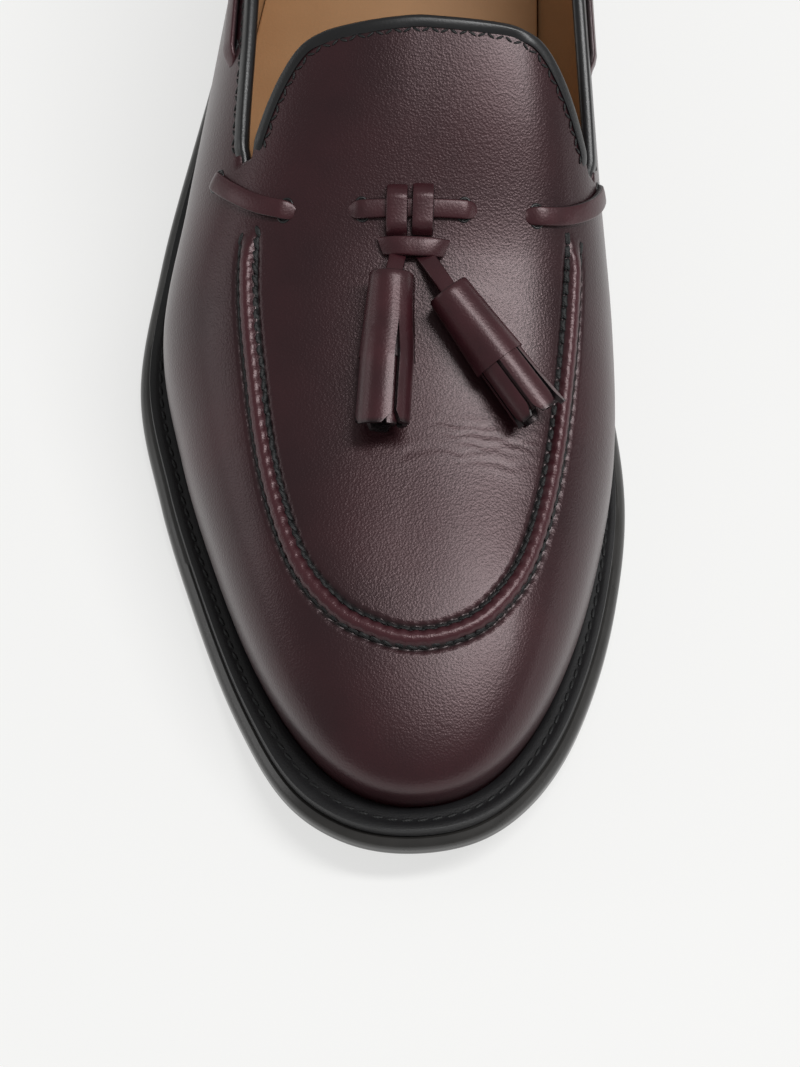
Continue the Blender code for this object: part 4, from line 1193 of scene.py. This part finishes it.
def strap(name, frames, width=LACE_WIDTH, widths=None):
    """A thong along frames, with its cut edges marked."""
    mesh = sweep(name + "_mesh", frames, strap_section(width), widths=widths)
    around = mesh.uv_layers["strip"].data
    ink = np.zeros(len(mesh.vertices))
    for loop in mesh.loops:
        ink[loop.vertex_index] = inked(around[loop.index].uv[0])
    label_points(mesh, "edge", ink)
    return mesh


LACE_END_ROUND = 3.4 * MM
SLOT_REACH = 1.7 * MM
SLOT_CLEAR = 0.5 * MM
SLOT_POINTS = 24
LACE_DIVE = 1.55 * MM
LACE_LIFT = 0.1 * MM


def end_widths(frames):
    """Shares of a lace's width that round its two ends off."""
    run = run_along(np.array([point for point, _ in frames]))
    near = np.clip(np.minimum(run, run[-1] - run) / LACE_END_ROUND, 0, 1)
    return 0.5 + 0.5 * np.sqrt(1 - (1 - near) ** 2)


def lace_sink(progress, reach):
    """How deep a lace lies: it turns down through its slots at both ends."""
    return LACE_DIVE * (1 - smooth_step(min(progress, 1 - progress) / reach)) - LACE_LIFT


def lace_frames(spots, count=44, reach=0.11):
    """A lace along the skin, from slot to slot."""
    frames = []
    for k, spot in enumerate(between(spots, count + 1)):
        point, up = skin_frame(*spot)
        frames.append((point - up * lace_sink(k / count, reach), up))
    return frames


def collar_lace_frames(side, count=60):
    """The lace along the quarter, at a steady drop below the collar."""
    frames = []
    step = 0.01
    for along in np.linspace(COLLAR_LACE_START, COLLAR_LACE_END, count):
        turn = side * float(shares_to_turns(along))
        nears = (turn - step, turn, turn + step)
        lines = [column(near) for near in nears]
        ways = [way_of_top_line(near, line) + COLLAR_LACE_DROP for near, line in zip(nears, lines)]
        ahead = points_on(lines[2], [ways[2]])[0] - points_on(lines[0], [ways[0]])[0]
        low, point, high = points_on(lines[1], [ways[1] - MM, ways[1], ways[1] + MM])
        up = unit(np.cross(ahead, high - low))
        out = point - np.array([*middle(turn), point[2]])
        up = up * math.copysign(1, up @ out)
        progress = (along - COLLAR_LACE_START) / (COLLAR_LACE_END - COLLAR_LACE_START)
        frames.append((point - up * lace_sink(progress, 0.05), up))
    return frames


def slot_mesh(point, up, ahead):
    """A cut slot's inked rolled lip, and a black cap over its hole as painted shade, where a lace goes
    through.
    """
    side = unit(np.cross(ahead, up))
    ahead = unit(np.cross(up, side))
    ring = []
    for angle in np.arange(SLOT_POINTS) * 2 * math.pi / SLOT_POINTS:
        across = side * math.sin(angle) * (LACE_WIDTH / 2 + SLOT_CLEAR)
        ring.append(point + ahead * math.cos(angle) * SLOT_REACH + across)
    places, ups = lay(ring, 0.0)
    turns = np.linspace(0, 2 * math.pi, 9)[:-1]
    section = [(0.34 * MM * math.cos(turn), 0.26 * MM * math.sin(turn)) for turn in turns]
    lip = sweep("slot_lip", list(zip(places, ups)), section, closed=True)
    # Painted shade: a black tube capped at both ends sits in the hole round the lace, so the hole reads dark
    rings = np.concatenate([places + ups * 0.1 * MM, places - ups * 0.3 * MM])
    hole_shade = new_mesh("slot_hole_shade", rings, tube_faces(2, SLOT_POINTS) + end_faces(2, SLOT_POINTS))
    return finished(joined("slot", [lip, hole_shade]), sharp=60)


def make_laces():
    slots = []
    runs = {
        "lace_left": lace_frames(LACE_LEFT),
        "lace_right": lace_frames(LACE_RIGHT),
        "lace_front": lace_frames(LACE_FRONT, 36, 0.09),
        "lace_collar_left": collar_lace_frames(-1),
        "lace_collar_right": collar_lace_frames(1),
    }
    for name, frames in runs.items():
        for end, inner in ((0, 3), (-1, -4)):
            point, up = frames[inner]
            slots.append(slot_mesh(point, up, point - frames[end][0]))
        mesh = strap(name, frames, widths=end_widths(frames))
        show(name + "_thong", mesh, lace_calf(), [name])
    # The slots' black caps are painted shade in their holes; their lips are inked cut edges
    show("lace_slots", joined("lace_slots_mesh", slots), binding_calf())


LOOP_WIDTH = 4.9 * MM
LOOP_CLEAR = 0.35 * MM
LOOP_REST = 0.3 * MM
LOOP_SUNK = 0.2 * MM
WRAP_LIFT = 0.2 * MM
WRAP_BOW = 1.25  # height of the wrap's arch, in thicknesses of the lace
WRAP_DIP = 0.35 * MM  # how far its inner end lies nearer the toe than its middle
WRAP_SPLAY = 0.12  # the wrap is longer along its upper edge


def loop_frames(spot, count=30):
    """A loop over the front lace: down behind its far edge, flat across it, and on under the knot."""
    reach_along = LOOP_LENGTH / LAST_LENGTH / 2
    frames = []
    for k in range(count + 1):
        progress = k / count
        point, up = skin_frame(spot.along + reach_along * (1 - 2 * progress), spot.out)
        rise = math.sin(math.pi * progress) / math.sin(math.pi * LOOP_SHOULDER)
        lift = (LACE_THICKNESS + LOOP_CLEAR) * min(1.0, rise**0.7)
        if progress > 0.5:
            lift = max(lift, LOOP_REST)
        frames.append((point + up * (lift - LOOP_SUNK), up))
    return frames


def make_knot():
    for name, spot in (("loop_left", LOOP_LEFT), ("loop_right", LOOP_RIGHT)):
        show(name + "_thong", strap(name, loop_frames(spot), LOOP_WIDTH), lace_calf(), [name])
    point, up = skin_frame(*WRAP)
    frames = []
    widths = []
    for progress in np.linspace(-1, 1, 33):
        bow = LACE_THICKNESS * WRAP_BOW * (1 - abs(progress) ** 3.5)
        ahead = np.array([progress * WRAP_LENGTH / 2, -WRAP_DIP * progress, 0])
        frames.append((point + ahead + up * (WRAP_LIFT + bow), up))
        widths.append(1.02 - 0.10 * abs(progress) ** 3)
    mesh = strap("knot_wrap", frames, widths=widths)
    for vertex in mesh.vertices:
        toward_heel = (vertex.co.y - point[1]) / (LACE_WIDTH / 2)
        vertex.co.x = point[0] + (vertex.co.x - point[0]) * (1 + WRAP_SPLAY * toward_heel)
    show("knot_wrap_thong", mesh, lace_calf(), ["knot_wrap"])


Hold = namedtuple("Hold", "base axis side up")


def on_hold(hold, along, angle, radius):
    """A point round a tassel's axis."""
    return hold.base + hold.axis * along + (hold.side * math.cos(angle) + hold.up * math.sin(angle)) * radius


def tassel_hold(spots):
    """A tassel's top, its axis and the directions across it and away from the shoe."""
    start, start_up = skin_frame(*spots[0])
    end, end_up = skin_frame(*spots[1])
    axis = unit(end - start)
    side = unit(np.cross(axis, start_up + end_up))
    up = np.cross(side, axis)
    clear = []
    for share in np.linspace(0, 1, 13):
        radius = SLEEVE_TOP_RADIUS + (SLEEVE_END_RADIUS - SLEEVE_TOP_RADIUS) * min(1, share * 2)
        spot = start + axis * TASSEL_LENGTH * share
        hit = skin_tree().ray_cast(Vector(spot + up * 30 * MM), Vector(-up))[0]
        clear.append(radius + (np.array(hit) - spot) @ up)
    return Hold(start + up * (max(clear) + 0.15 * MM), axis, side, up)


SLEEVE_SEAM = 0.55 * MM  # step where the rolled strip ends


def sleeve_radius(along):
    growth = min(1.0, along / SLEEVE_LENGTH) ** 1.2
    return SLEEVE_TOP_RADIUS + (SLEEVE_END_RADIUS - SLEEVE_TOP_RADIUS) * growth


def sleeve_rows():
    """Place, share of the radius and ink of each ring of a sleeve, from inside its top to its lower rim."""
    found = [(1.6 * MM, 0.62, 1.0), (0.0, 0.80, 1.0), (0.0, 0.94, 0.6)]
    body = 0.35 * MM
    found += [(body + (SLEEVE_LENGTH - body) * k / 16, 1.0, 0.0) for k in range(17)]
    return found + [(SLEEVE_LENGTH, 0.84, 1.0)]


def sleeve_turns(slit, opened):
    """Angle, depth and ink of each point round a sleeve's ring, with two walls where the slit has opened."""
    turns = [(2 * math.pi * k / SLEEVE_POINTS + 0.02, 0.0, 0.0) for k in range(SLEEVE_POINTS)]
    if not slit:
        return turns
    turns = [turn for turn in turns if abs(turn[0] - slit.angle) > slit.width / 2 + 0.03]
    depth, dark = (SLIT_DEPTH, 1.0) if opened else (0.0, 0.0)
    for out, wall in ((-1.0, 0), (-0.96, 1), (0.96, 1), (1.0, 0)):
        turns.append((slit.angle + out * max(opened, 0.003), depth * wall, dark * wall))
    return sorted(turns)


def sleeve_mesh(name, hold, seam, slit):
    """A strip of calf rolled round the tassel's neck: a step where it ends, and the slit of its fringe."""
    points = []
    ink = []
    for along, shrink, rim_ink in sleeve_rows():
        share = along / SLEEVE_LENGTH
        opened = 0.0
        if slit:
            opened = slit.width / 2 * max(0.0, (along - slit.start) / (SLEEVE_LENGTH - slit.start))
        turns = sleeve_turns(slit, opened)
        for angle, depth, dark in turns:
            past = (angle - seam) % (2 * math.pi) / (2 * math.pi)
            lap = SLEEVE_SEAM * smooth_step(past / 0.02) * (1 - past) ** 1.5
            uneven = 0.10 * MM * math.sin(3 * angle + share * 2.5)
            radius = (sleeve_radius(along) + lap + uneven) * shrink - depth
            points.append(on_hold(hold, along, angle, radius))
            ink.append(max(rim_ink, dark, 1.0 if past < 0.014 else 0.0))
    count = len(turns)
    rings = len(points) // count
    return inked_mesh(name, points, tube_faces(rings, count) + end_faces(rings, count), ink)


def inked_mesh(name, points, faces, ink):
    mesh = new_mesh(name, points, faces)
    label_points(mesh, "edge", ink)
    return finished(mesh, sharp=45)


# Strips of a fringe, in degrees from the side that faces away from the shoe; rise is how far above the sleeve
Strand = namedtuple("Strand", "first last length rise start")
Slit = namedtuple("Slit", "angle width start")
SLIT_DEPTH = 1.3 * MM
STRAND_PLATE = 1.25 * MM
STRAND_UNDER = 0.12 * MM
STRAND_CHAMFER = 2.4 * MM
STRAND_ROWS = 20
SLEEVE_POINTS = 72
STRAND_ACROSS = (-1.0, -0.95, -0.6, -0.2, 0.2, 0.6, 0.95, 1.0)
FRINGE_LEFT = (
    Strand(-74, 18, 36.0, 0.24, 11.5),
    Strand(30, 84, 35.2, 0.16, 11.5),
    Strand(-128, -80, 34.6, -0.55, 15),
    Strand(90, 150, 34.8, -0.55, 15),
    Strand(157, 224, 35.4, -0.55, 15),
    Strand(2, 50, 35.6, -1.75, 15),
    Strand(-100, -50, 34.2, -2.0, 15),
    Strand(60, 110, 34.4, -2.0, 15),
    Strand(130, 200, 34.4, -2.0, 15),
)
FRINGE_RIGHT = (
    Strand(-80, -27, 34.4, -0.45, 15),
    Strand(-19, 36, 35.2, -0.35, 15),
    Strand(45, 88, 36.0, -0.60, 15),
    Strand(96, 155, 34.8, -0.55, 15),
    Strand(163, 215, 35.2, -0.55, 15),
    Strand(223, 272, 34.8, -0.55, 15),
    Strand(-48, -4, 33.4, -1.9, 15),
    Strand(14, 66, 34.6, -1.9, 15),
    Strand(80, 140, 34.2, -2.0, 15),
    Strand(180, 250, 34.2, -2.0, 15),
)


def strand_radius(along, share, strand, wave):
    """How far a strip of the fringe stands from the tassel's axis: those above the sleeve rise out of it."""
    radius = sleeve_radius(along)
    if strand.rise < 0:
        return radius + strand.rise * MM + (0.45 + 0.35 * wave) * MM * share**2
    emerge = smooth_step((along - strand.start * MM) / (3.5 * MM))
    risen = (strand.rise * MM + STRAND_UNDER) * emerge
    return radius - STRAND_UNDER + risen + (0.35 + 0.3 * wave) * MM * share**3


def strand_mesh(name, hold, strand, wave):
    """One strip of the fringe: a curved plate that leaves the sleeve and ends in a chamfered cut."""
    start = strand.start * MM
    length = strand.length * MM
    points = []
    ink = []
    centre = math.radians(90 + (strand.first + strand.last) / 2)
    half = math.radians(strand.last - strand.first) / 2
    for j in range(STRAND_ROWS + 1):
        share = j / STRAND_ROWS
        along = start + (length - start) * share
        taper = 1 - 0.42 * min(1.0, max(0.0, (along - length) / STRAND_CHAMFER + 1))
        radius = strand_radius(along, share, strand, wave)
        for depth in (0, 1):
            for u in STRAND_ACROSS:
                angle = centre + 0.04 * wave * share**2 + half * u * taper
                crowned = radius - STRAND_PLATE * depth - 0.10 * MM * u * u * (1 - depth)
                points.append(on_hold(hold, along, angle, crowned))
                ink.append(1.0 if depth or abs(u) > 0.99 or j == STRAND_ROWS else 0.0)
    wide = len(STRAND_ACROSS)
    row = 2 * wide
    faces = []
    for a in range(0, STRAND_ROWS * row, row):
        b = a + row
        for k in range(wide - 1):
            faces.append([a + k, a + k + 1, b + k + 1, b + k])
            faces.append([a + wide + k + 1, a + wide + k, b + wide + k, b + wide + k + 1])
        faces.append([a, b, b + wide, a + wide])
        faces.append([a + wide - 1, a + row - 1, b + row - 1, b + wide - 1])
    cap = [*range(wide), *range(row - 1, wide - 1, -1)]
    faces += [cap[::-1], [STRAND_ROWS * row + k for k in cap]]
    return inked_mesh(name, points, faces, ink)


def neck_frames(hold, out):
    """The strap from under the wrap to inside the sleeve's top."""
    start, start_up = skin_frame(WRAP.along - LACE_WIDTH / LAST_LENGTH * 0.3, out)
    end = hold.base + hold.axis * 2.2 * MM - hold.up * LACE_THICKNESS / 2
    start = start + start_up * 0.25 * MM
    frames = []
    for progress in np.linspace(0, 1, 15):
        spot = start + (end - start) * progress + hold.up * 0.5 * MM * math.sin(math.pi * progress)
        frames.append((spot, unit(start_up * (1 - progress) + hold.up * progress)))
    return frames


def make_tassels():
    slit = Slit(math.radians(90 + 24), 0.26, 11.5 * MM)
    for name, spots, fringe, cut, seam, out in (
        ("left", TASSEL_LEFT, FRINGE_LEFT, slit, 3.3, -0.045),
        ("right", TASSEL_RIGHT, FRINGE_RIGHT, None, 3.4, 0.03),
    ):
        hold = tassel_hold(spots)
        tassel = "tassel_" + name
        meshes = [sleeve_mesh(tassel + "_sleeve", hold, seam, cut)]
        for k, strand in enumerate(fringe):
            meshes.append(strand_mesh(f"{tassel}_{k}", hold, strand, math.sin(2.4 * k + seam)))
        show(tassel + "_calf", joined(tassel, meshes), lace_calf(), [tassel])
        neck = strap("neck_" + name, neck_frames(hold, out), LACE_WIDTH * 0.9)
        show("neck_" + name + "_thong", neck, lace_calf(), ["neck_" + name])


def feather_line(turn):
    return -WELT_REACH * tuck(turn)


def welt_line(turn):
    return feather_line(turn) + WELT_REACH * reach(turn)


def rolled(share):
    """An offset beyond the welt's edge, by a share of the outsole's round."""
    return lambda turn: welt_line(turn) + WELT_LIP + EDGE_ROLL * share


def carried(name, section, turns, closed_section=False):
    """A solid made by carrying a section of (offset(turn), height(y)) pairs round the shoe.

    Turns that start behind the toe are joined straight across. Without a closed section the first and
    last lines are closed by strips from side to side.
    """
    ring = [-turn for turn in turns[::-1]] + turns[1 if turns[0] == 0 else 0 : -1]
    points = []
    for turn in ring:
        spot = widest_line(turn)
        out = outward(turn)
        for offset, height in section:
            place = spot + out * offset(turn)
            points.append([*place, height(place[1])])
    total = len(ring)
    count = len(section)
    faces = tube_faces(total, count, True)
    if not closed_section:
        faces = [face for k, face in enumerate(faces) if k % count != count - 1]
        for k in (0, count - 1):
            for j in range(total // 2):
                corners = (j, (j + 1) % total, (total - j - 1) % total, (total - j) % total)
                faces.append(list(dict.fromkeys(corner * count + k for corner in corners)))
    return finished(new_mesh(name, points, faces), merge=SOLE_MERGE, sharp=40)


def lifted(lift):
    """A height above the sole's curved underside."""
    return lambda y: underside(y) + lift


def level_at(height):
    return lambda y: height


SOLE_TURNS = turn_steps(0.0, math.pi, 420)


def curve_through(knots, values, count):
    """Even samples of a smooth curve through a few given values."""
    knots = np.array(knots, float)
    values = np.array(values, float)
    at = np.linspace(knots[0], knots[-1], count)
    return at, hermite(knots, values, np.gradient(values, knots), at)


HEEL_LIFTS = 3
TOP_PIECE_ROUND = 0.6 * MM
WELT_STITCH_LINE = 0.54
WELT_THREAD_SUNK = 0.16 * MM
WeltRow = namedtuple("WeltRow", "share below")
WELT_ROWS = (
    WeltRow(0.0, 0.2 * MM),
    WeltRow(0.12, 0),
    WeltRow(0.34, 0),
    WeltRow(0.44, 0.16 * MM),
    WeltRow(WELT_STITCH_LINE, 0.20 * MM),
    WeltRow(0.64, 0.14 * MM),
    WeltRow(0.72, 0),
    WeltRow(0.93, 0),
    WeltRow(0.985, 0.15 * MM),
    WeltRow(1.0, 0.5 * MM),
)


def make_outsole():
    heights, shares = curve_through((0, 0.16, 0.45, 0.8, 1.0), (-0.2, 0.7, 1.0, 0.75, 0.0), 17)
    section = [(rolled(share), lifted(OUTSOLE_THICKNESS * height)) for height, share in zip(heights, shares)]
    mesh = carried("outsole_mesh", section, SOLE_TURNS)
    show("outsole_leather", mesh, sole_edge(), ["outsole"])


def on_welt(share):
    """An offset on the welt, from its inner edge at 0 to its outer edge at 1."""

    def offset(turn):
        inner = feather_line(turn) + GAP
        return inner + (welt_line(turn) - inner) * share

    return offset


def make_welt():
    """The welt: a flat strip with a wheeled groove for its stitches and a bead along its outer edge."""
    low = OUTSOLE_THICKNESS + GAP * 0.3
    section = [(on_welt(0.0), lifted(low))]
    section += [(on_welt(row.share), lifted(FEATHER - row.below)) for row in WELT_ROWS]
    section += [(on_welt(1.0), lifted(low + 0.5 * MM)), (on_welt(0.97), lifted(low))]
    mesh = carried("welt_mesh", section, SOLE_TURNS, True)
    show("welt_strip", mesh, welt_leather(), ["welt"])
    places = []
    for turn in [-turn for turn in SOLE_TURNS[::-1]] + SOLE_TURNS[1:-1]:
        spot = widest_line(turn) + outward(turn) * on_welt(WELT_STITCH_LINE)(turn)
        places.append([*spot, feather(spot[1]) - WELT_THREAD_SUNK])
    ups = np.tile([0, 0, 1.0], (len(places), 1))
    sizes = {"Pitch": 3.4 * MM, "Length": 2.9 * MM, "Width": 0.9 * MM, "Height": 0.55 * MM, "Slant": 0.12}
    show("welt_stitches", stitch_mesh(places, ups, closed=True, **sizes), waxed_thread())


def make_heel():
    """Three lifts with soft edges between them, and the rubber top piece under them."""
    turns = turn_steps(float(shares_to_turns(HEEL_BREAST)), math.pi, 160)
    base = TOP_PIECE_THICKNESS + GAP

    def stacked(share):
        return lambda y: base + (underside(y) - GAP * 0.3 - base) * share

    section = [(rolled(-0.66), stacked(0.0))]
    for lift in range(HEEL_LIFTS):
        for share, inset in ((0.02, 0.10), (0.10, 0.0), (0.90, 0.0), (0.98, 0.10)):
            whole = (lift + share) / HEEL_LIFTS
            section.append((rolled(-0.6 + 0.4 * whole - inset), stacked(whole)))
    section.append((rolled(-0.26), stacked(1.0)))
    mesh = carried("heel_block_mesh", section, turns)
    show("heel_lifts", mesh, sole_edge(), ["heel_block"])
    soft = TOP_PIECE_ROUND / EDGE_ROLL
    section = [
        (rolled(-0.62 - soft), level_at(0.0)),
        (rolled(-0.62 - 0.3 * soft), level_at(0.3 * TOP_PIECE_ROUND)),
        (rolled(-0.62), level_at(TOP_PIECE_ROUND)),
        (rolled(-0.6), level_at(TOP_PIECE_THICKNESS - 0.3 * MM)),
        (rolled(-0.7), level_at(TOP_PIECE_THICKNESS)),
    ]
    mesh = carried("top_piece_mesh", section, turns)
    show("heel_top_rubber", mesh, top_rubber(), ["heel_top_piece"])


def make_insole():
    def inside(inset):
        return lambda turn: feather_line(turn) - UPPER_WALL - GAP * 0.5 - inset

    high = FEATHER + INSOLE_THICKNESS
    section = [
        (inside(0.0), lifted(OUTSOLE_THICKNESS + GAP)),
        (inside(0.0), lifted(high - 0.4 * MM)),
        (inside(0.5 * MM), lifted(high)),
    ]
    mesh = carried("insole_mesh", section, SOLE_TURNS)
    show("insole_calf", mesh, lining_calf(), ["insole"])


LIGHT_COLOUR = "#f5f5f4"
FLOOR_REACH = 6.0
Lamp = namedtuple("Lamp", "name place aim size power")
LAMPS = (
    Lamp("overhead_box", (0.67, -0.12, 1.65), (0, -0.08, 0.03), (0.28, 1.2), 18.5),
    Lamp("left_fill", (-1.6, 0.2, 0.55), (0, -0.08, 0.03), (0.5, 0.6), 1.5),
    Lamp("right_strip", (1.5, -0.3, 0.25), (0, -0.08, 0.03), (1.0, 0.2), 1.0),
)


def make_floor(look):
    """A plain matt floor that gives some light by itself, as a lit studio table does."""
    made, _, shader = finish_of("pale_lit_floor", 0.85)
    shader.inputs["Base Color"].default_value = look.floor
    shader.inputs["Emission Color"].default_value = linear(LIGHT_COLOUR)
    shader.inputs["Emission Strength"].default_value = look.floor_glow
    corners = [(x * FLOOR_REACH, y * FLOOR_REACH, 0) for x, y in ((-1, -1), (1, -1), (1, 1), (-1, 1))]
    mesh = new_mesh("floor", corners, [(0, 1, 2, 3)])
    mesh.materials.append(made)
    floor = bpy.data.objects.new("floor", mesh)
    bpy.context.scene.collection.objects.link(floor)


def make_stage():
    """A pale floor, a soft box over the shoe, a fill on each side, and the photograph's camera."""
    scene = bpy.context.scene
    look = scene.loafer
    make_floor(look)
    for name, place, aim, size, power in LAMPS:
        lamp = bpy.data.lights.new(name, "AREA")
        lamp.shape = "RECTANGLE"
        lamp.size, lamp.size_y = size
        lamp.energy = power * look.light_power
        holder = bpy.data.objects.new(name, lamp)
        holder.location = place
        holder.rotation_euler = (Vector(aim) - Vector(place)).to_track_quat("-Z", "Y").to_euler()
        scene.collection.objects.link(holder)
    scene.world = bpy.data.worlds.new("soft_room")
    scene.world.use_nodes = True
    room = scene.world.node_tree.nodes["Background"]
    room.inputs["Color"].default_value = linear(LIGHT_COLOUR)
    room.inputs["Strength"].default_value = look.room_light
    scene.view_settings.view_transform = "Standard"
    camera = bpy.data.cameras.new("photo_camera")
    camera.sensor_fit = "HORIZONTAL"
    camera.sensor_width = 36
    camera.lens = CAMERA_LENS
    holder = bpy.data.objects.new("photo_camera", camera)
    back = Vector((0, -math.cos(CAMERA_ELEVATION), math.sin(CAMERA_ELEVATION)))
    holder.location = Vector(CAMERA_AIM) + back * CAMERA_DISTANCE
    holder.rotation_euler = (math.pi / 2 - CAMERA_ELEVATION, 0, 0)
    scene.collection.objects.link(holder)
    scene.camera = holder


def colour_property(name, description, text):
    """A colour that a user can change."""
    return bpy.props.FloatVectorProperty(
        name=name, description=description, subtype="COLOR", size=4, min=0, max=1, default=linear(text)
    )


class LoaferLook(bpy.types.PropertyGroup):
    """Colours, sizes and light of the shoe's finish."""

    calf: colour_property("Calf", "Burgundy of the glazed calf", "#38191e")
    calf_dark: colour_property("Calf, deep", "Dye where it lies deeper", "#241115")
    # Lighter calf of the thongs, and the painted highlight on the seam's ridge
    calf_light_and_ridge_highlight: colour_property("Calf, rubbed", "Redder burgundy of the seam's ridge", "#482228")
    gloss: colour_property("Gloss", "Tint of the calf's gloss", "#fbdde0")
    black: colour_property("Black", "Ink of the sole, welt and bindings", "#0c0c0e")
    black_light: colour_property("Black, worn", "Where the black has been rubbed", "#19191b")
    edge: colour_property("Sole edge", "Burnished ink of the sole's edge", "#232221")
    edge_light: colour_property("Sole edge, worn", "Rubbed ink of the sole's edge", "#343230")
    # Its near-black is also the painted shade in the seam's grooves
    thread: colour_property("Thread", "Black waxed thread", "#0b0e0e")
    lining: colour_property("Lining", "Undyed tan lining", "#b98f66")
    lining_dark: colour_property("Lining, dark", "Darker clouds of the lining", "#a0764f")
    floor: colour_property("Floor", "Pale floor", "#939392")
    grain_cell: bpy.props.FloatProperty(
        name="Grain",
        description="Width of a cell of the calf's grain",
        unit="LENGTH",
        min=0.0002,
        default=GRAIN_CELL,
    )
    floor_glow: bpy.props.FloatProperty(
        name="Floor glow", description="Light that the floor gives by itself", min=0, default=0.73
    )
    light_power: bpy.props.FloatProperty(
        name="Lamps", description="Strength of the soft boxes", min=0, default=1.0
    )
    room_light: bpy.props.FloatProperty(
        name="Room", description="Strength of the light all round", min=0, default=0.33
    )


class LOAFER_OT_upper(bpy.types.Operator):
    """Make the calf upper with its ridge and creases"""

    bl_idname = "loafer.upper"
    bl_label = "Upper"

    def execute(self, context):
        make_upper()
        return {"FINISHED"}


class LOAFER_OT_lining(bpy.types.Operator):
    """Make the lining of the vamp and quarters"""

    bl_idname = "loafer.lining"
    bl_label = "Lining"

    def execute(self, context):
        make_lining()
        return {"FINISHED"}


class LOAFER_OT_bindings(bpy.types.Operator):
    """Fold the bindings over the tongue and the collar"""

    bl_idname = "loafer.bindings"
    bl_label = "Bindings"

    def execute(self, context):
        make_bindings()
        return {"FINISHED"}


class LOAFER_OT_stitches(bpy.types.Operator):
    """Sew the apron and the bindings"""

    bl_idname = "loafer.stitches"
    bl_label = "Stitches"

    def execute(self, context):
        make_edge_stitches()
        make_apron_stitches()
        return {"FINISHED"}


class LOAFER_OT_laces(bpy.types.Operator):
    """Run the laces through their slots"""

    bl_idname = "loafer.laces"
    bl_label = "Laces"

    def execute(self, context):
        make_laces()
        return {"FINISHED"}


class LOAFER_OT_knot(bpy.types.Operator):
    """Tie the loops and the wrap"""

    bl_idname = "loafer.knot"
    bl_label = "Knot"

    def execute(self, context):
        make_knot()
        return {"FINISHED"}


class LOAFER_OT_tassels(bpy.types.Operator):
    """Hang the two tassels"""

    bl_idname = "loafer.tassels"
    bl_label = "Tassels"

    def execute(self, context):
        make_tassels()
        return {"FINISHED"}


class LOAFER_OT_welt(bpy.types.Operator):
    """Lay and stitch the welt"""

    bl_idname = "loafer.welt"
    bl_label = "Welt"

    def execute(self, context):
        make_welt()
        return {"FINISHED"}


class LOAFER_OT_sole(bpy.types.Operator):
    """Make the outsole, heel and top piece"""

    bl_idname = "loafer.sole"
    bl_label = "Sole"

    def execute(self, context):
        make_outsole()
        make_heel()
        return {"FINISHED"}


class LOAFER_OT_insole(bpy.types.Operator):
    """Lay the insole"""

    bl_idname = "loafer.insole"
    bl_label = "Insole"

    def execute(self, context):
        make_insole()
        return {"FINISHED"}


class LOAFER_OT_stage(bpy.types.Operator):
    """Set the floor, lamps and camera"""

    bl_idname = "loafer.stage"
    bl_label = "Stage"

    def execute(self, context):
        make_stage()
        return {"FINISHED"}


OPERATORS = (
    LOAFER_OT_upper,
    LOAFER_OT_lining,
    LOAFER_OT_bindings,
    LOAFER_OT_stitches,
    LOAFER_OT_laces,
    LOAFER_OT_knot,
    LOAFER_OT_tassels,
    LOAFER_OT_welt,
    LOAFER_OT_sole,
    LOAFER_OT_insole,
    LOAFER_OT_stage,
)


class LOAFER_PT_panel(bpy.types.Panel):
    """Lists the pieces of the loafer."""

    bl_idname = "LOAFER_PT_panel"
    bl_label = "Tassel Loafer"
    bl_space_type = "VIEW_3D"
    bl_region_type = "UI"
    bl_category = "Loafer"

    def draw(self, context):
        for name in LoaferLook.__annotations__:
            self.layout.prop(context.scene.loafer, name)
        for made in OPERATORS:
            self.layout.operator(made.bl_idname)


def register():
    bpy.utils.register_class(LoaferLook)
    bpy.types.Scene.loafer = bpy.props.PointerProperty(type=LoaferLook)
    for made in (*OPERATORS, LOAFER_PT_panel):
        bpy.utils.register_class(made)


def unregister():
    for made in (*OPERATORS, LOAFER_PT_panel):
        bpy.utils.unregister_class(made)
    del bpy.types.Scene.loafer
    bpy.utils.unregister_class(LoaferLook)


def main():
    register()
    for made in OPERATORS:
        getattr(bpy.ops.loafer, made.bl_idname.split(".")[1])()


if __name__ == "__main__":
    main()
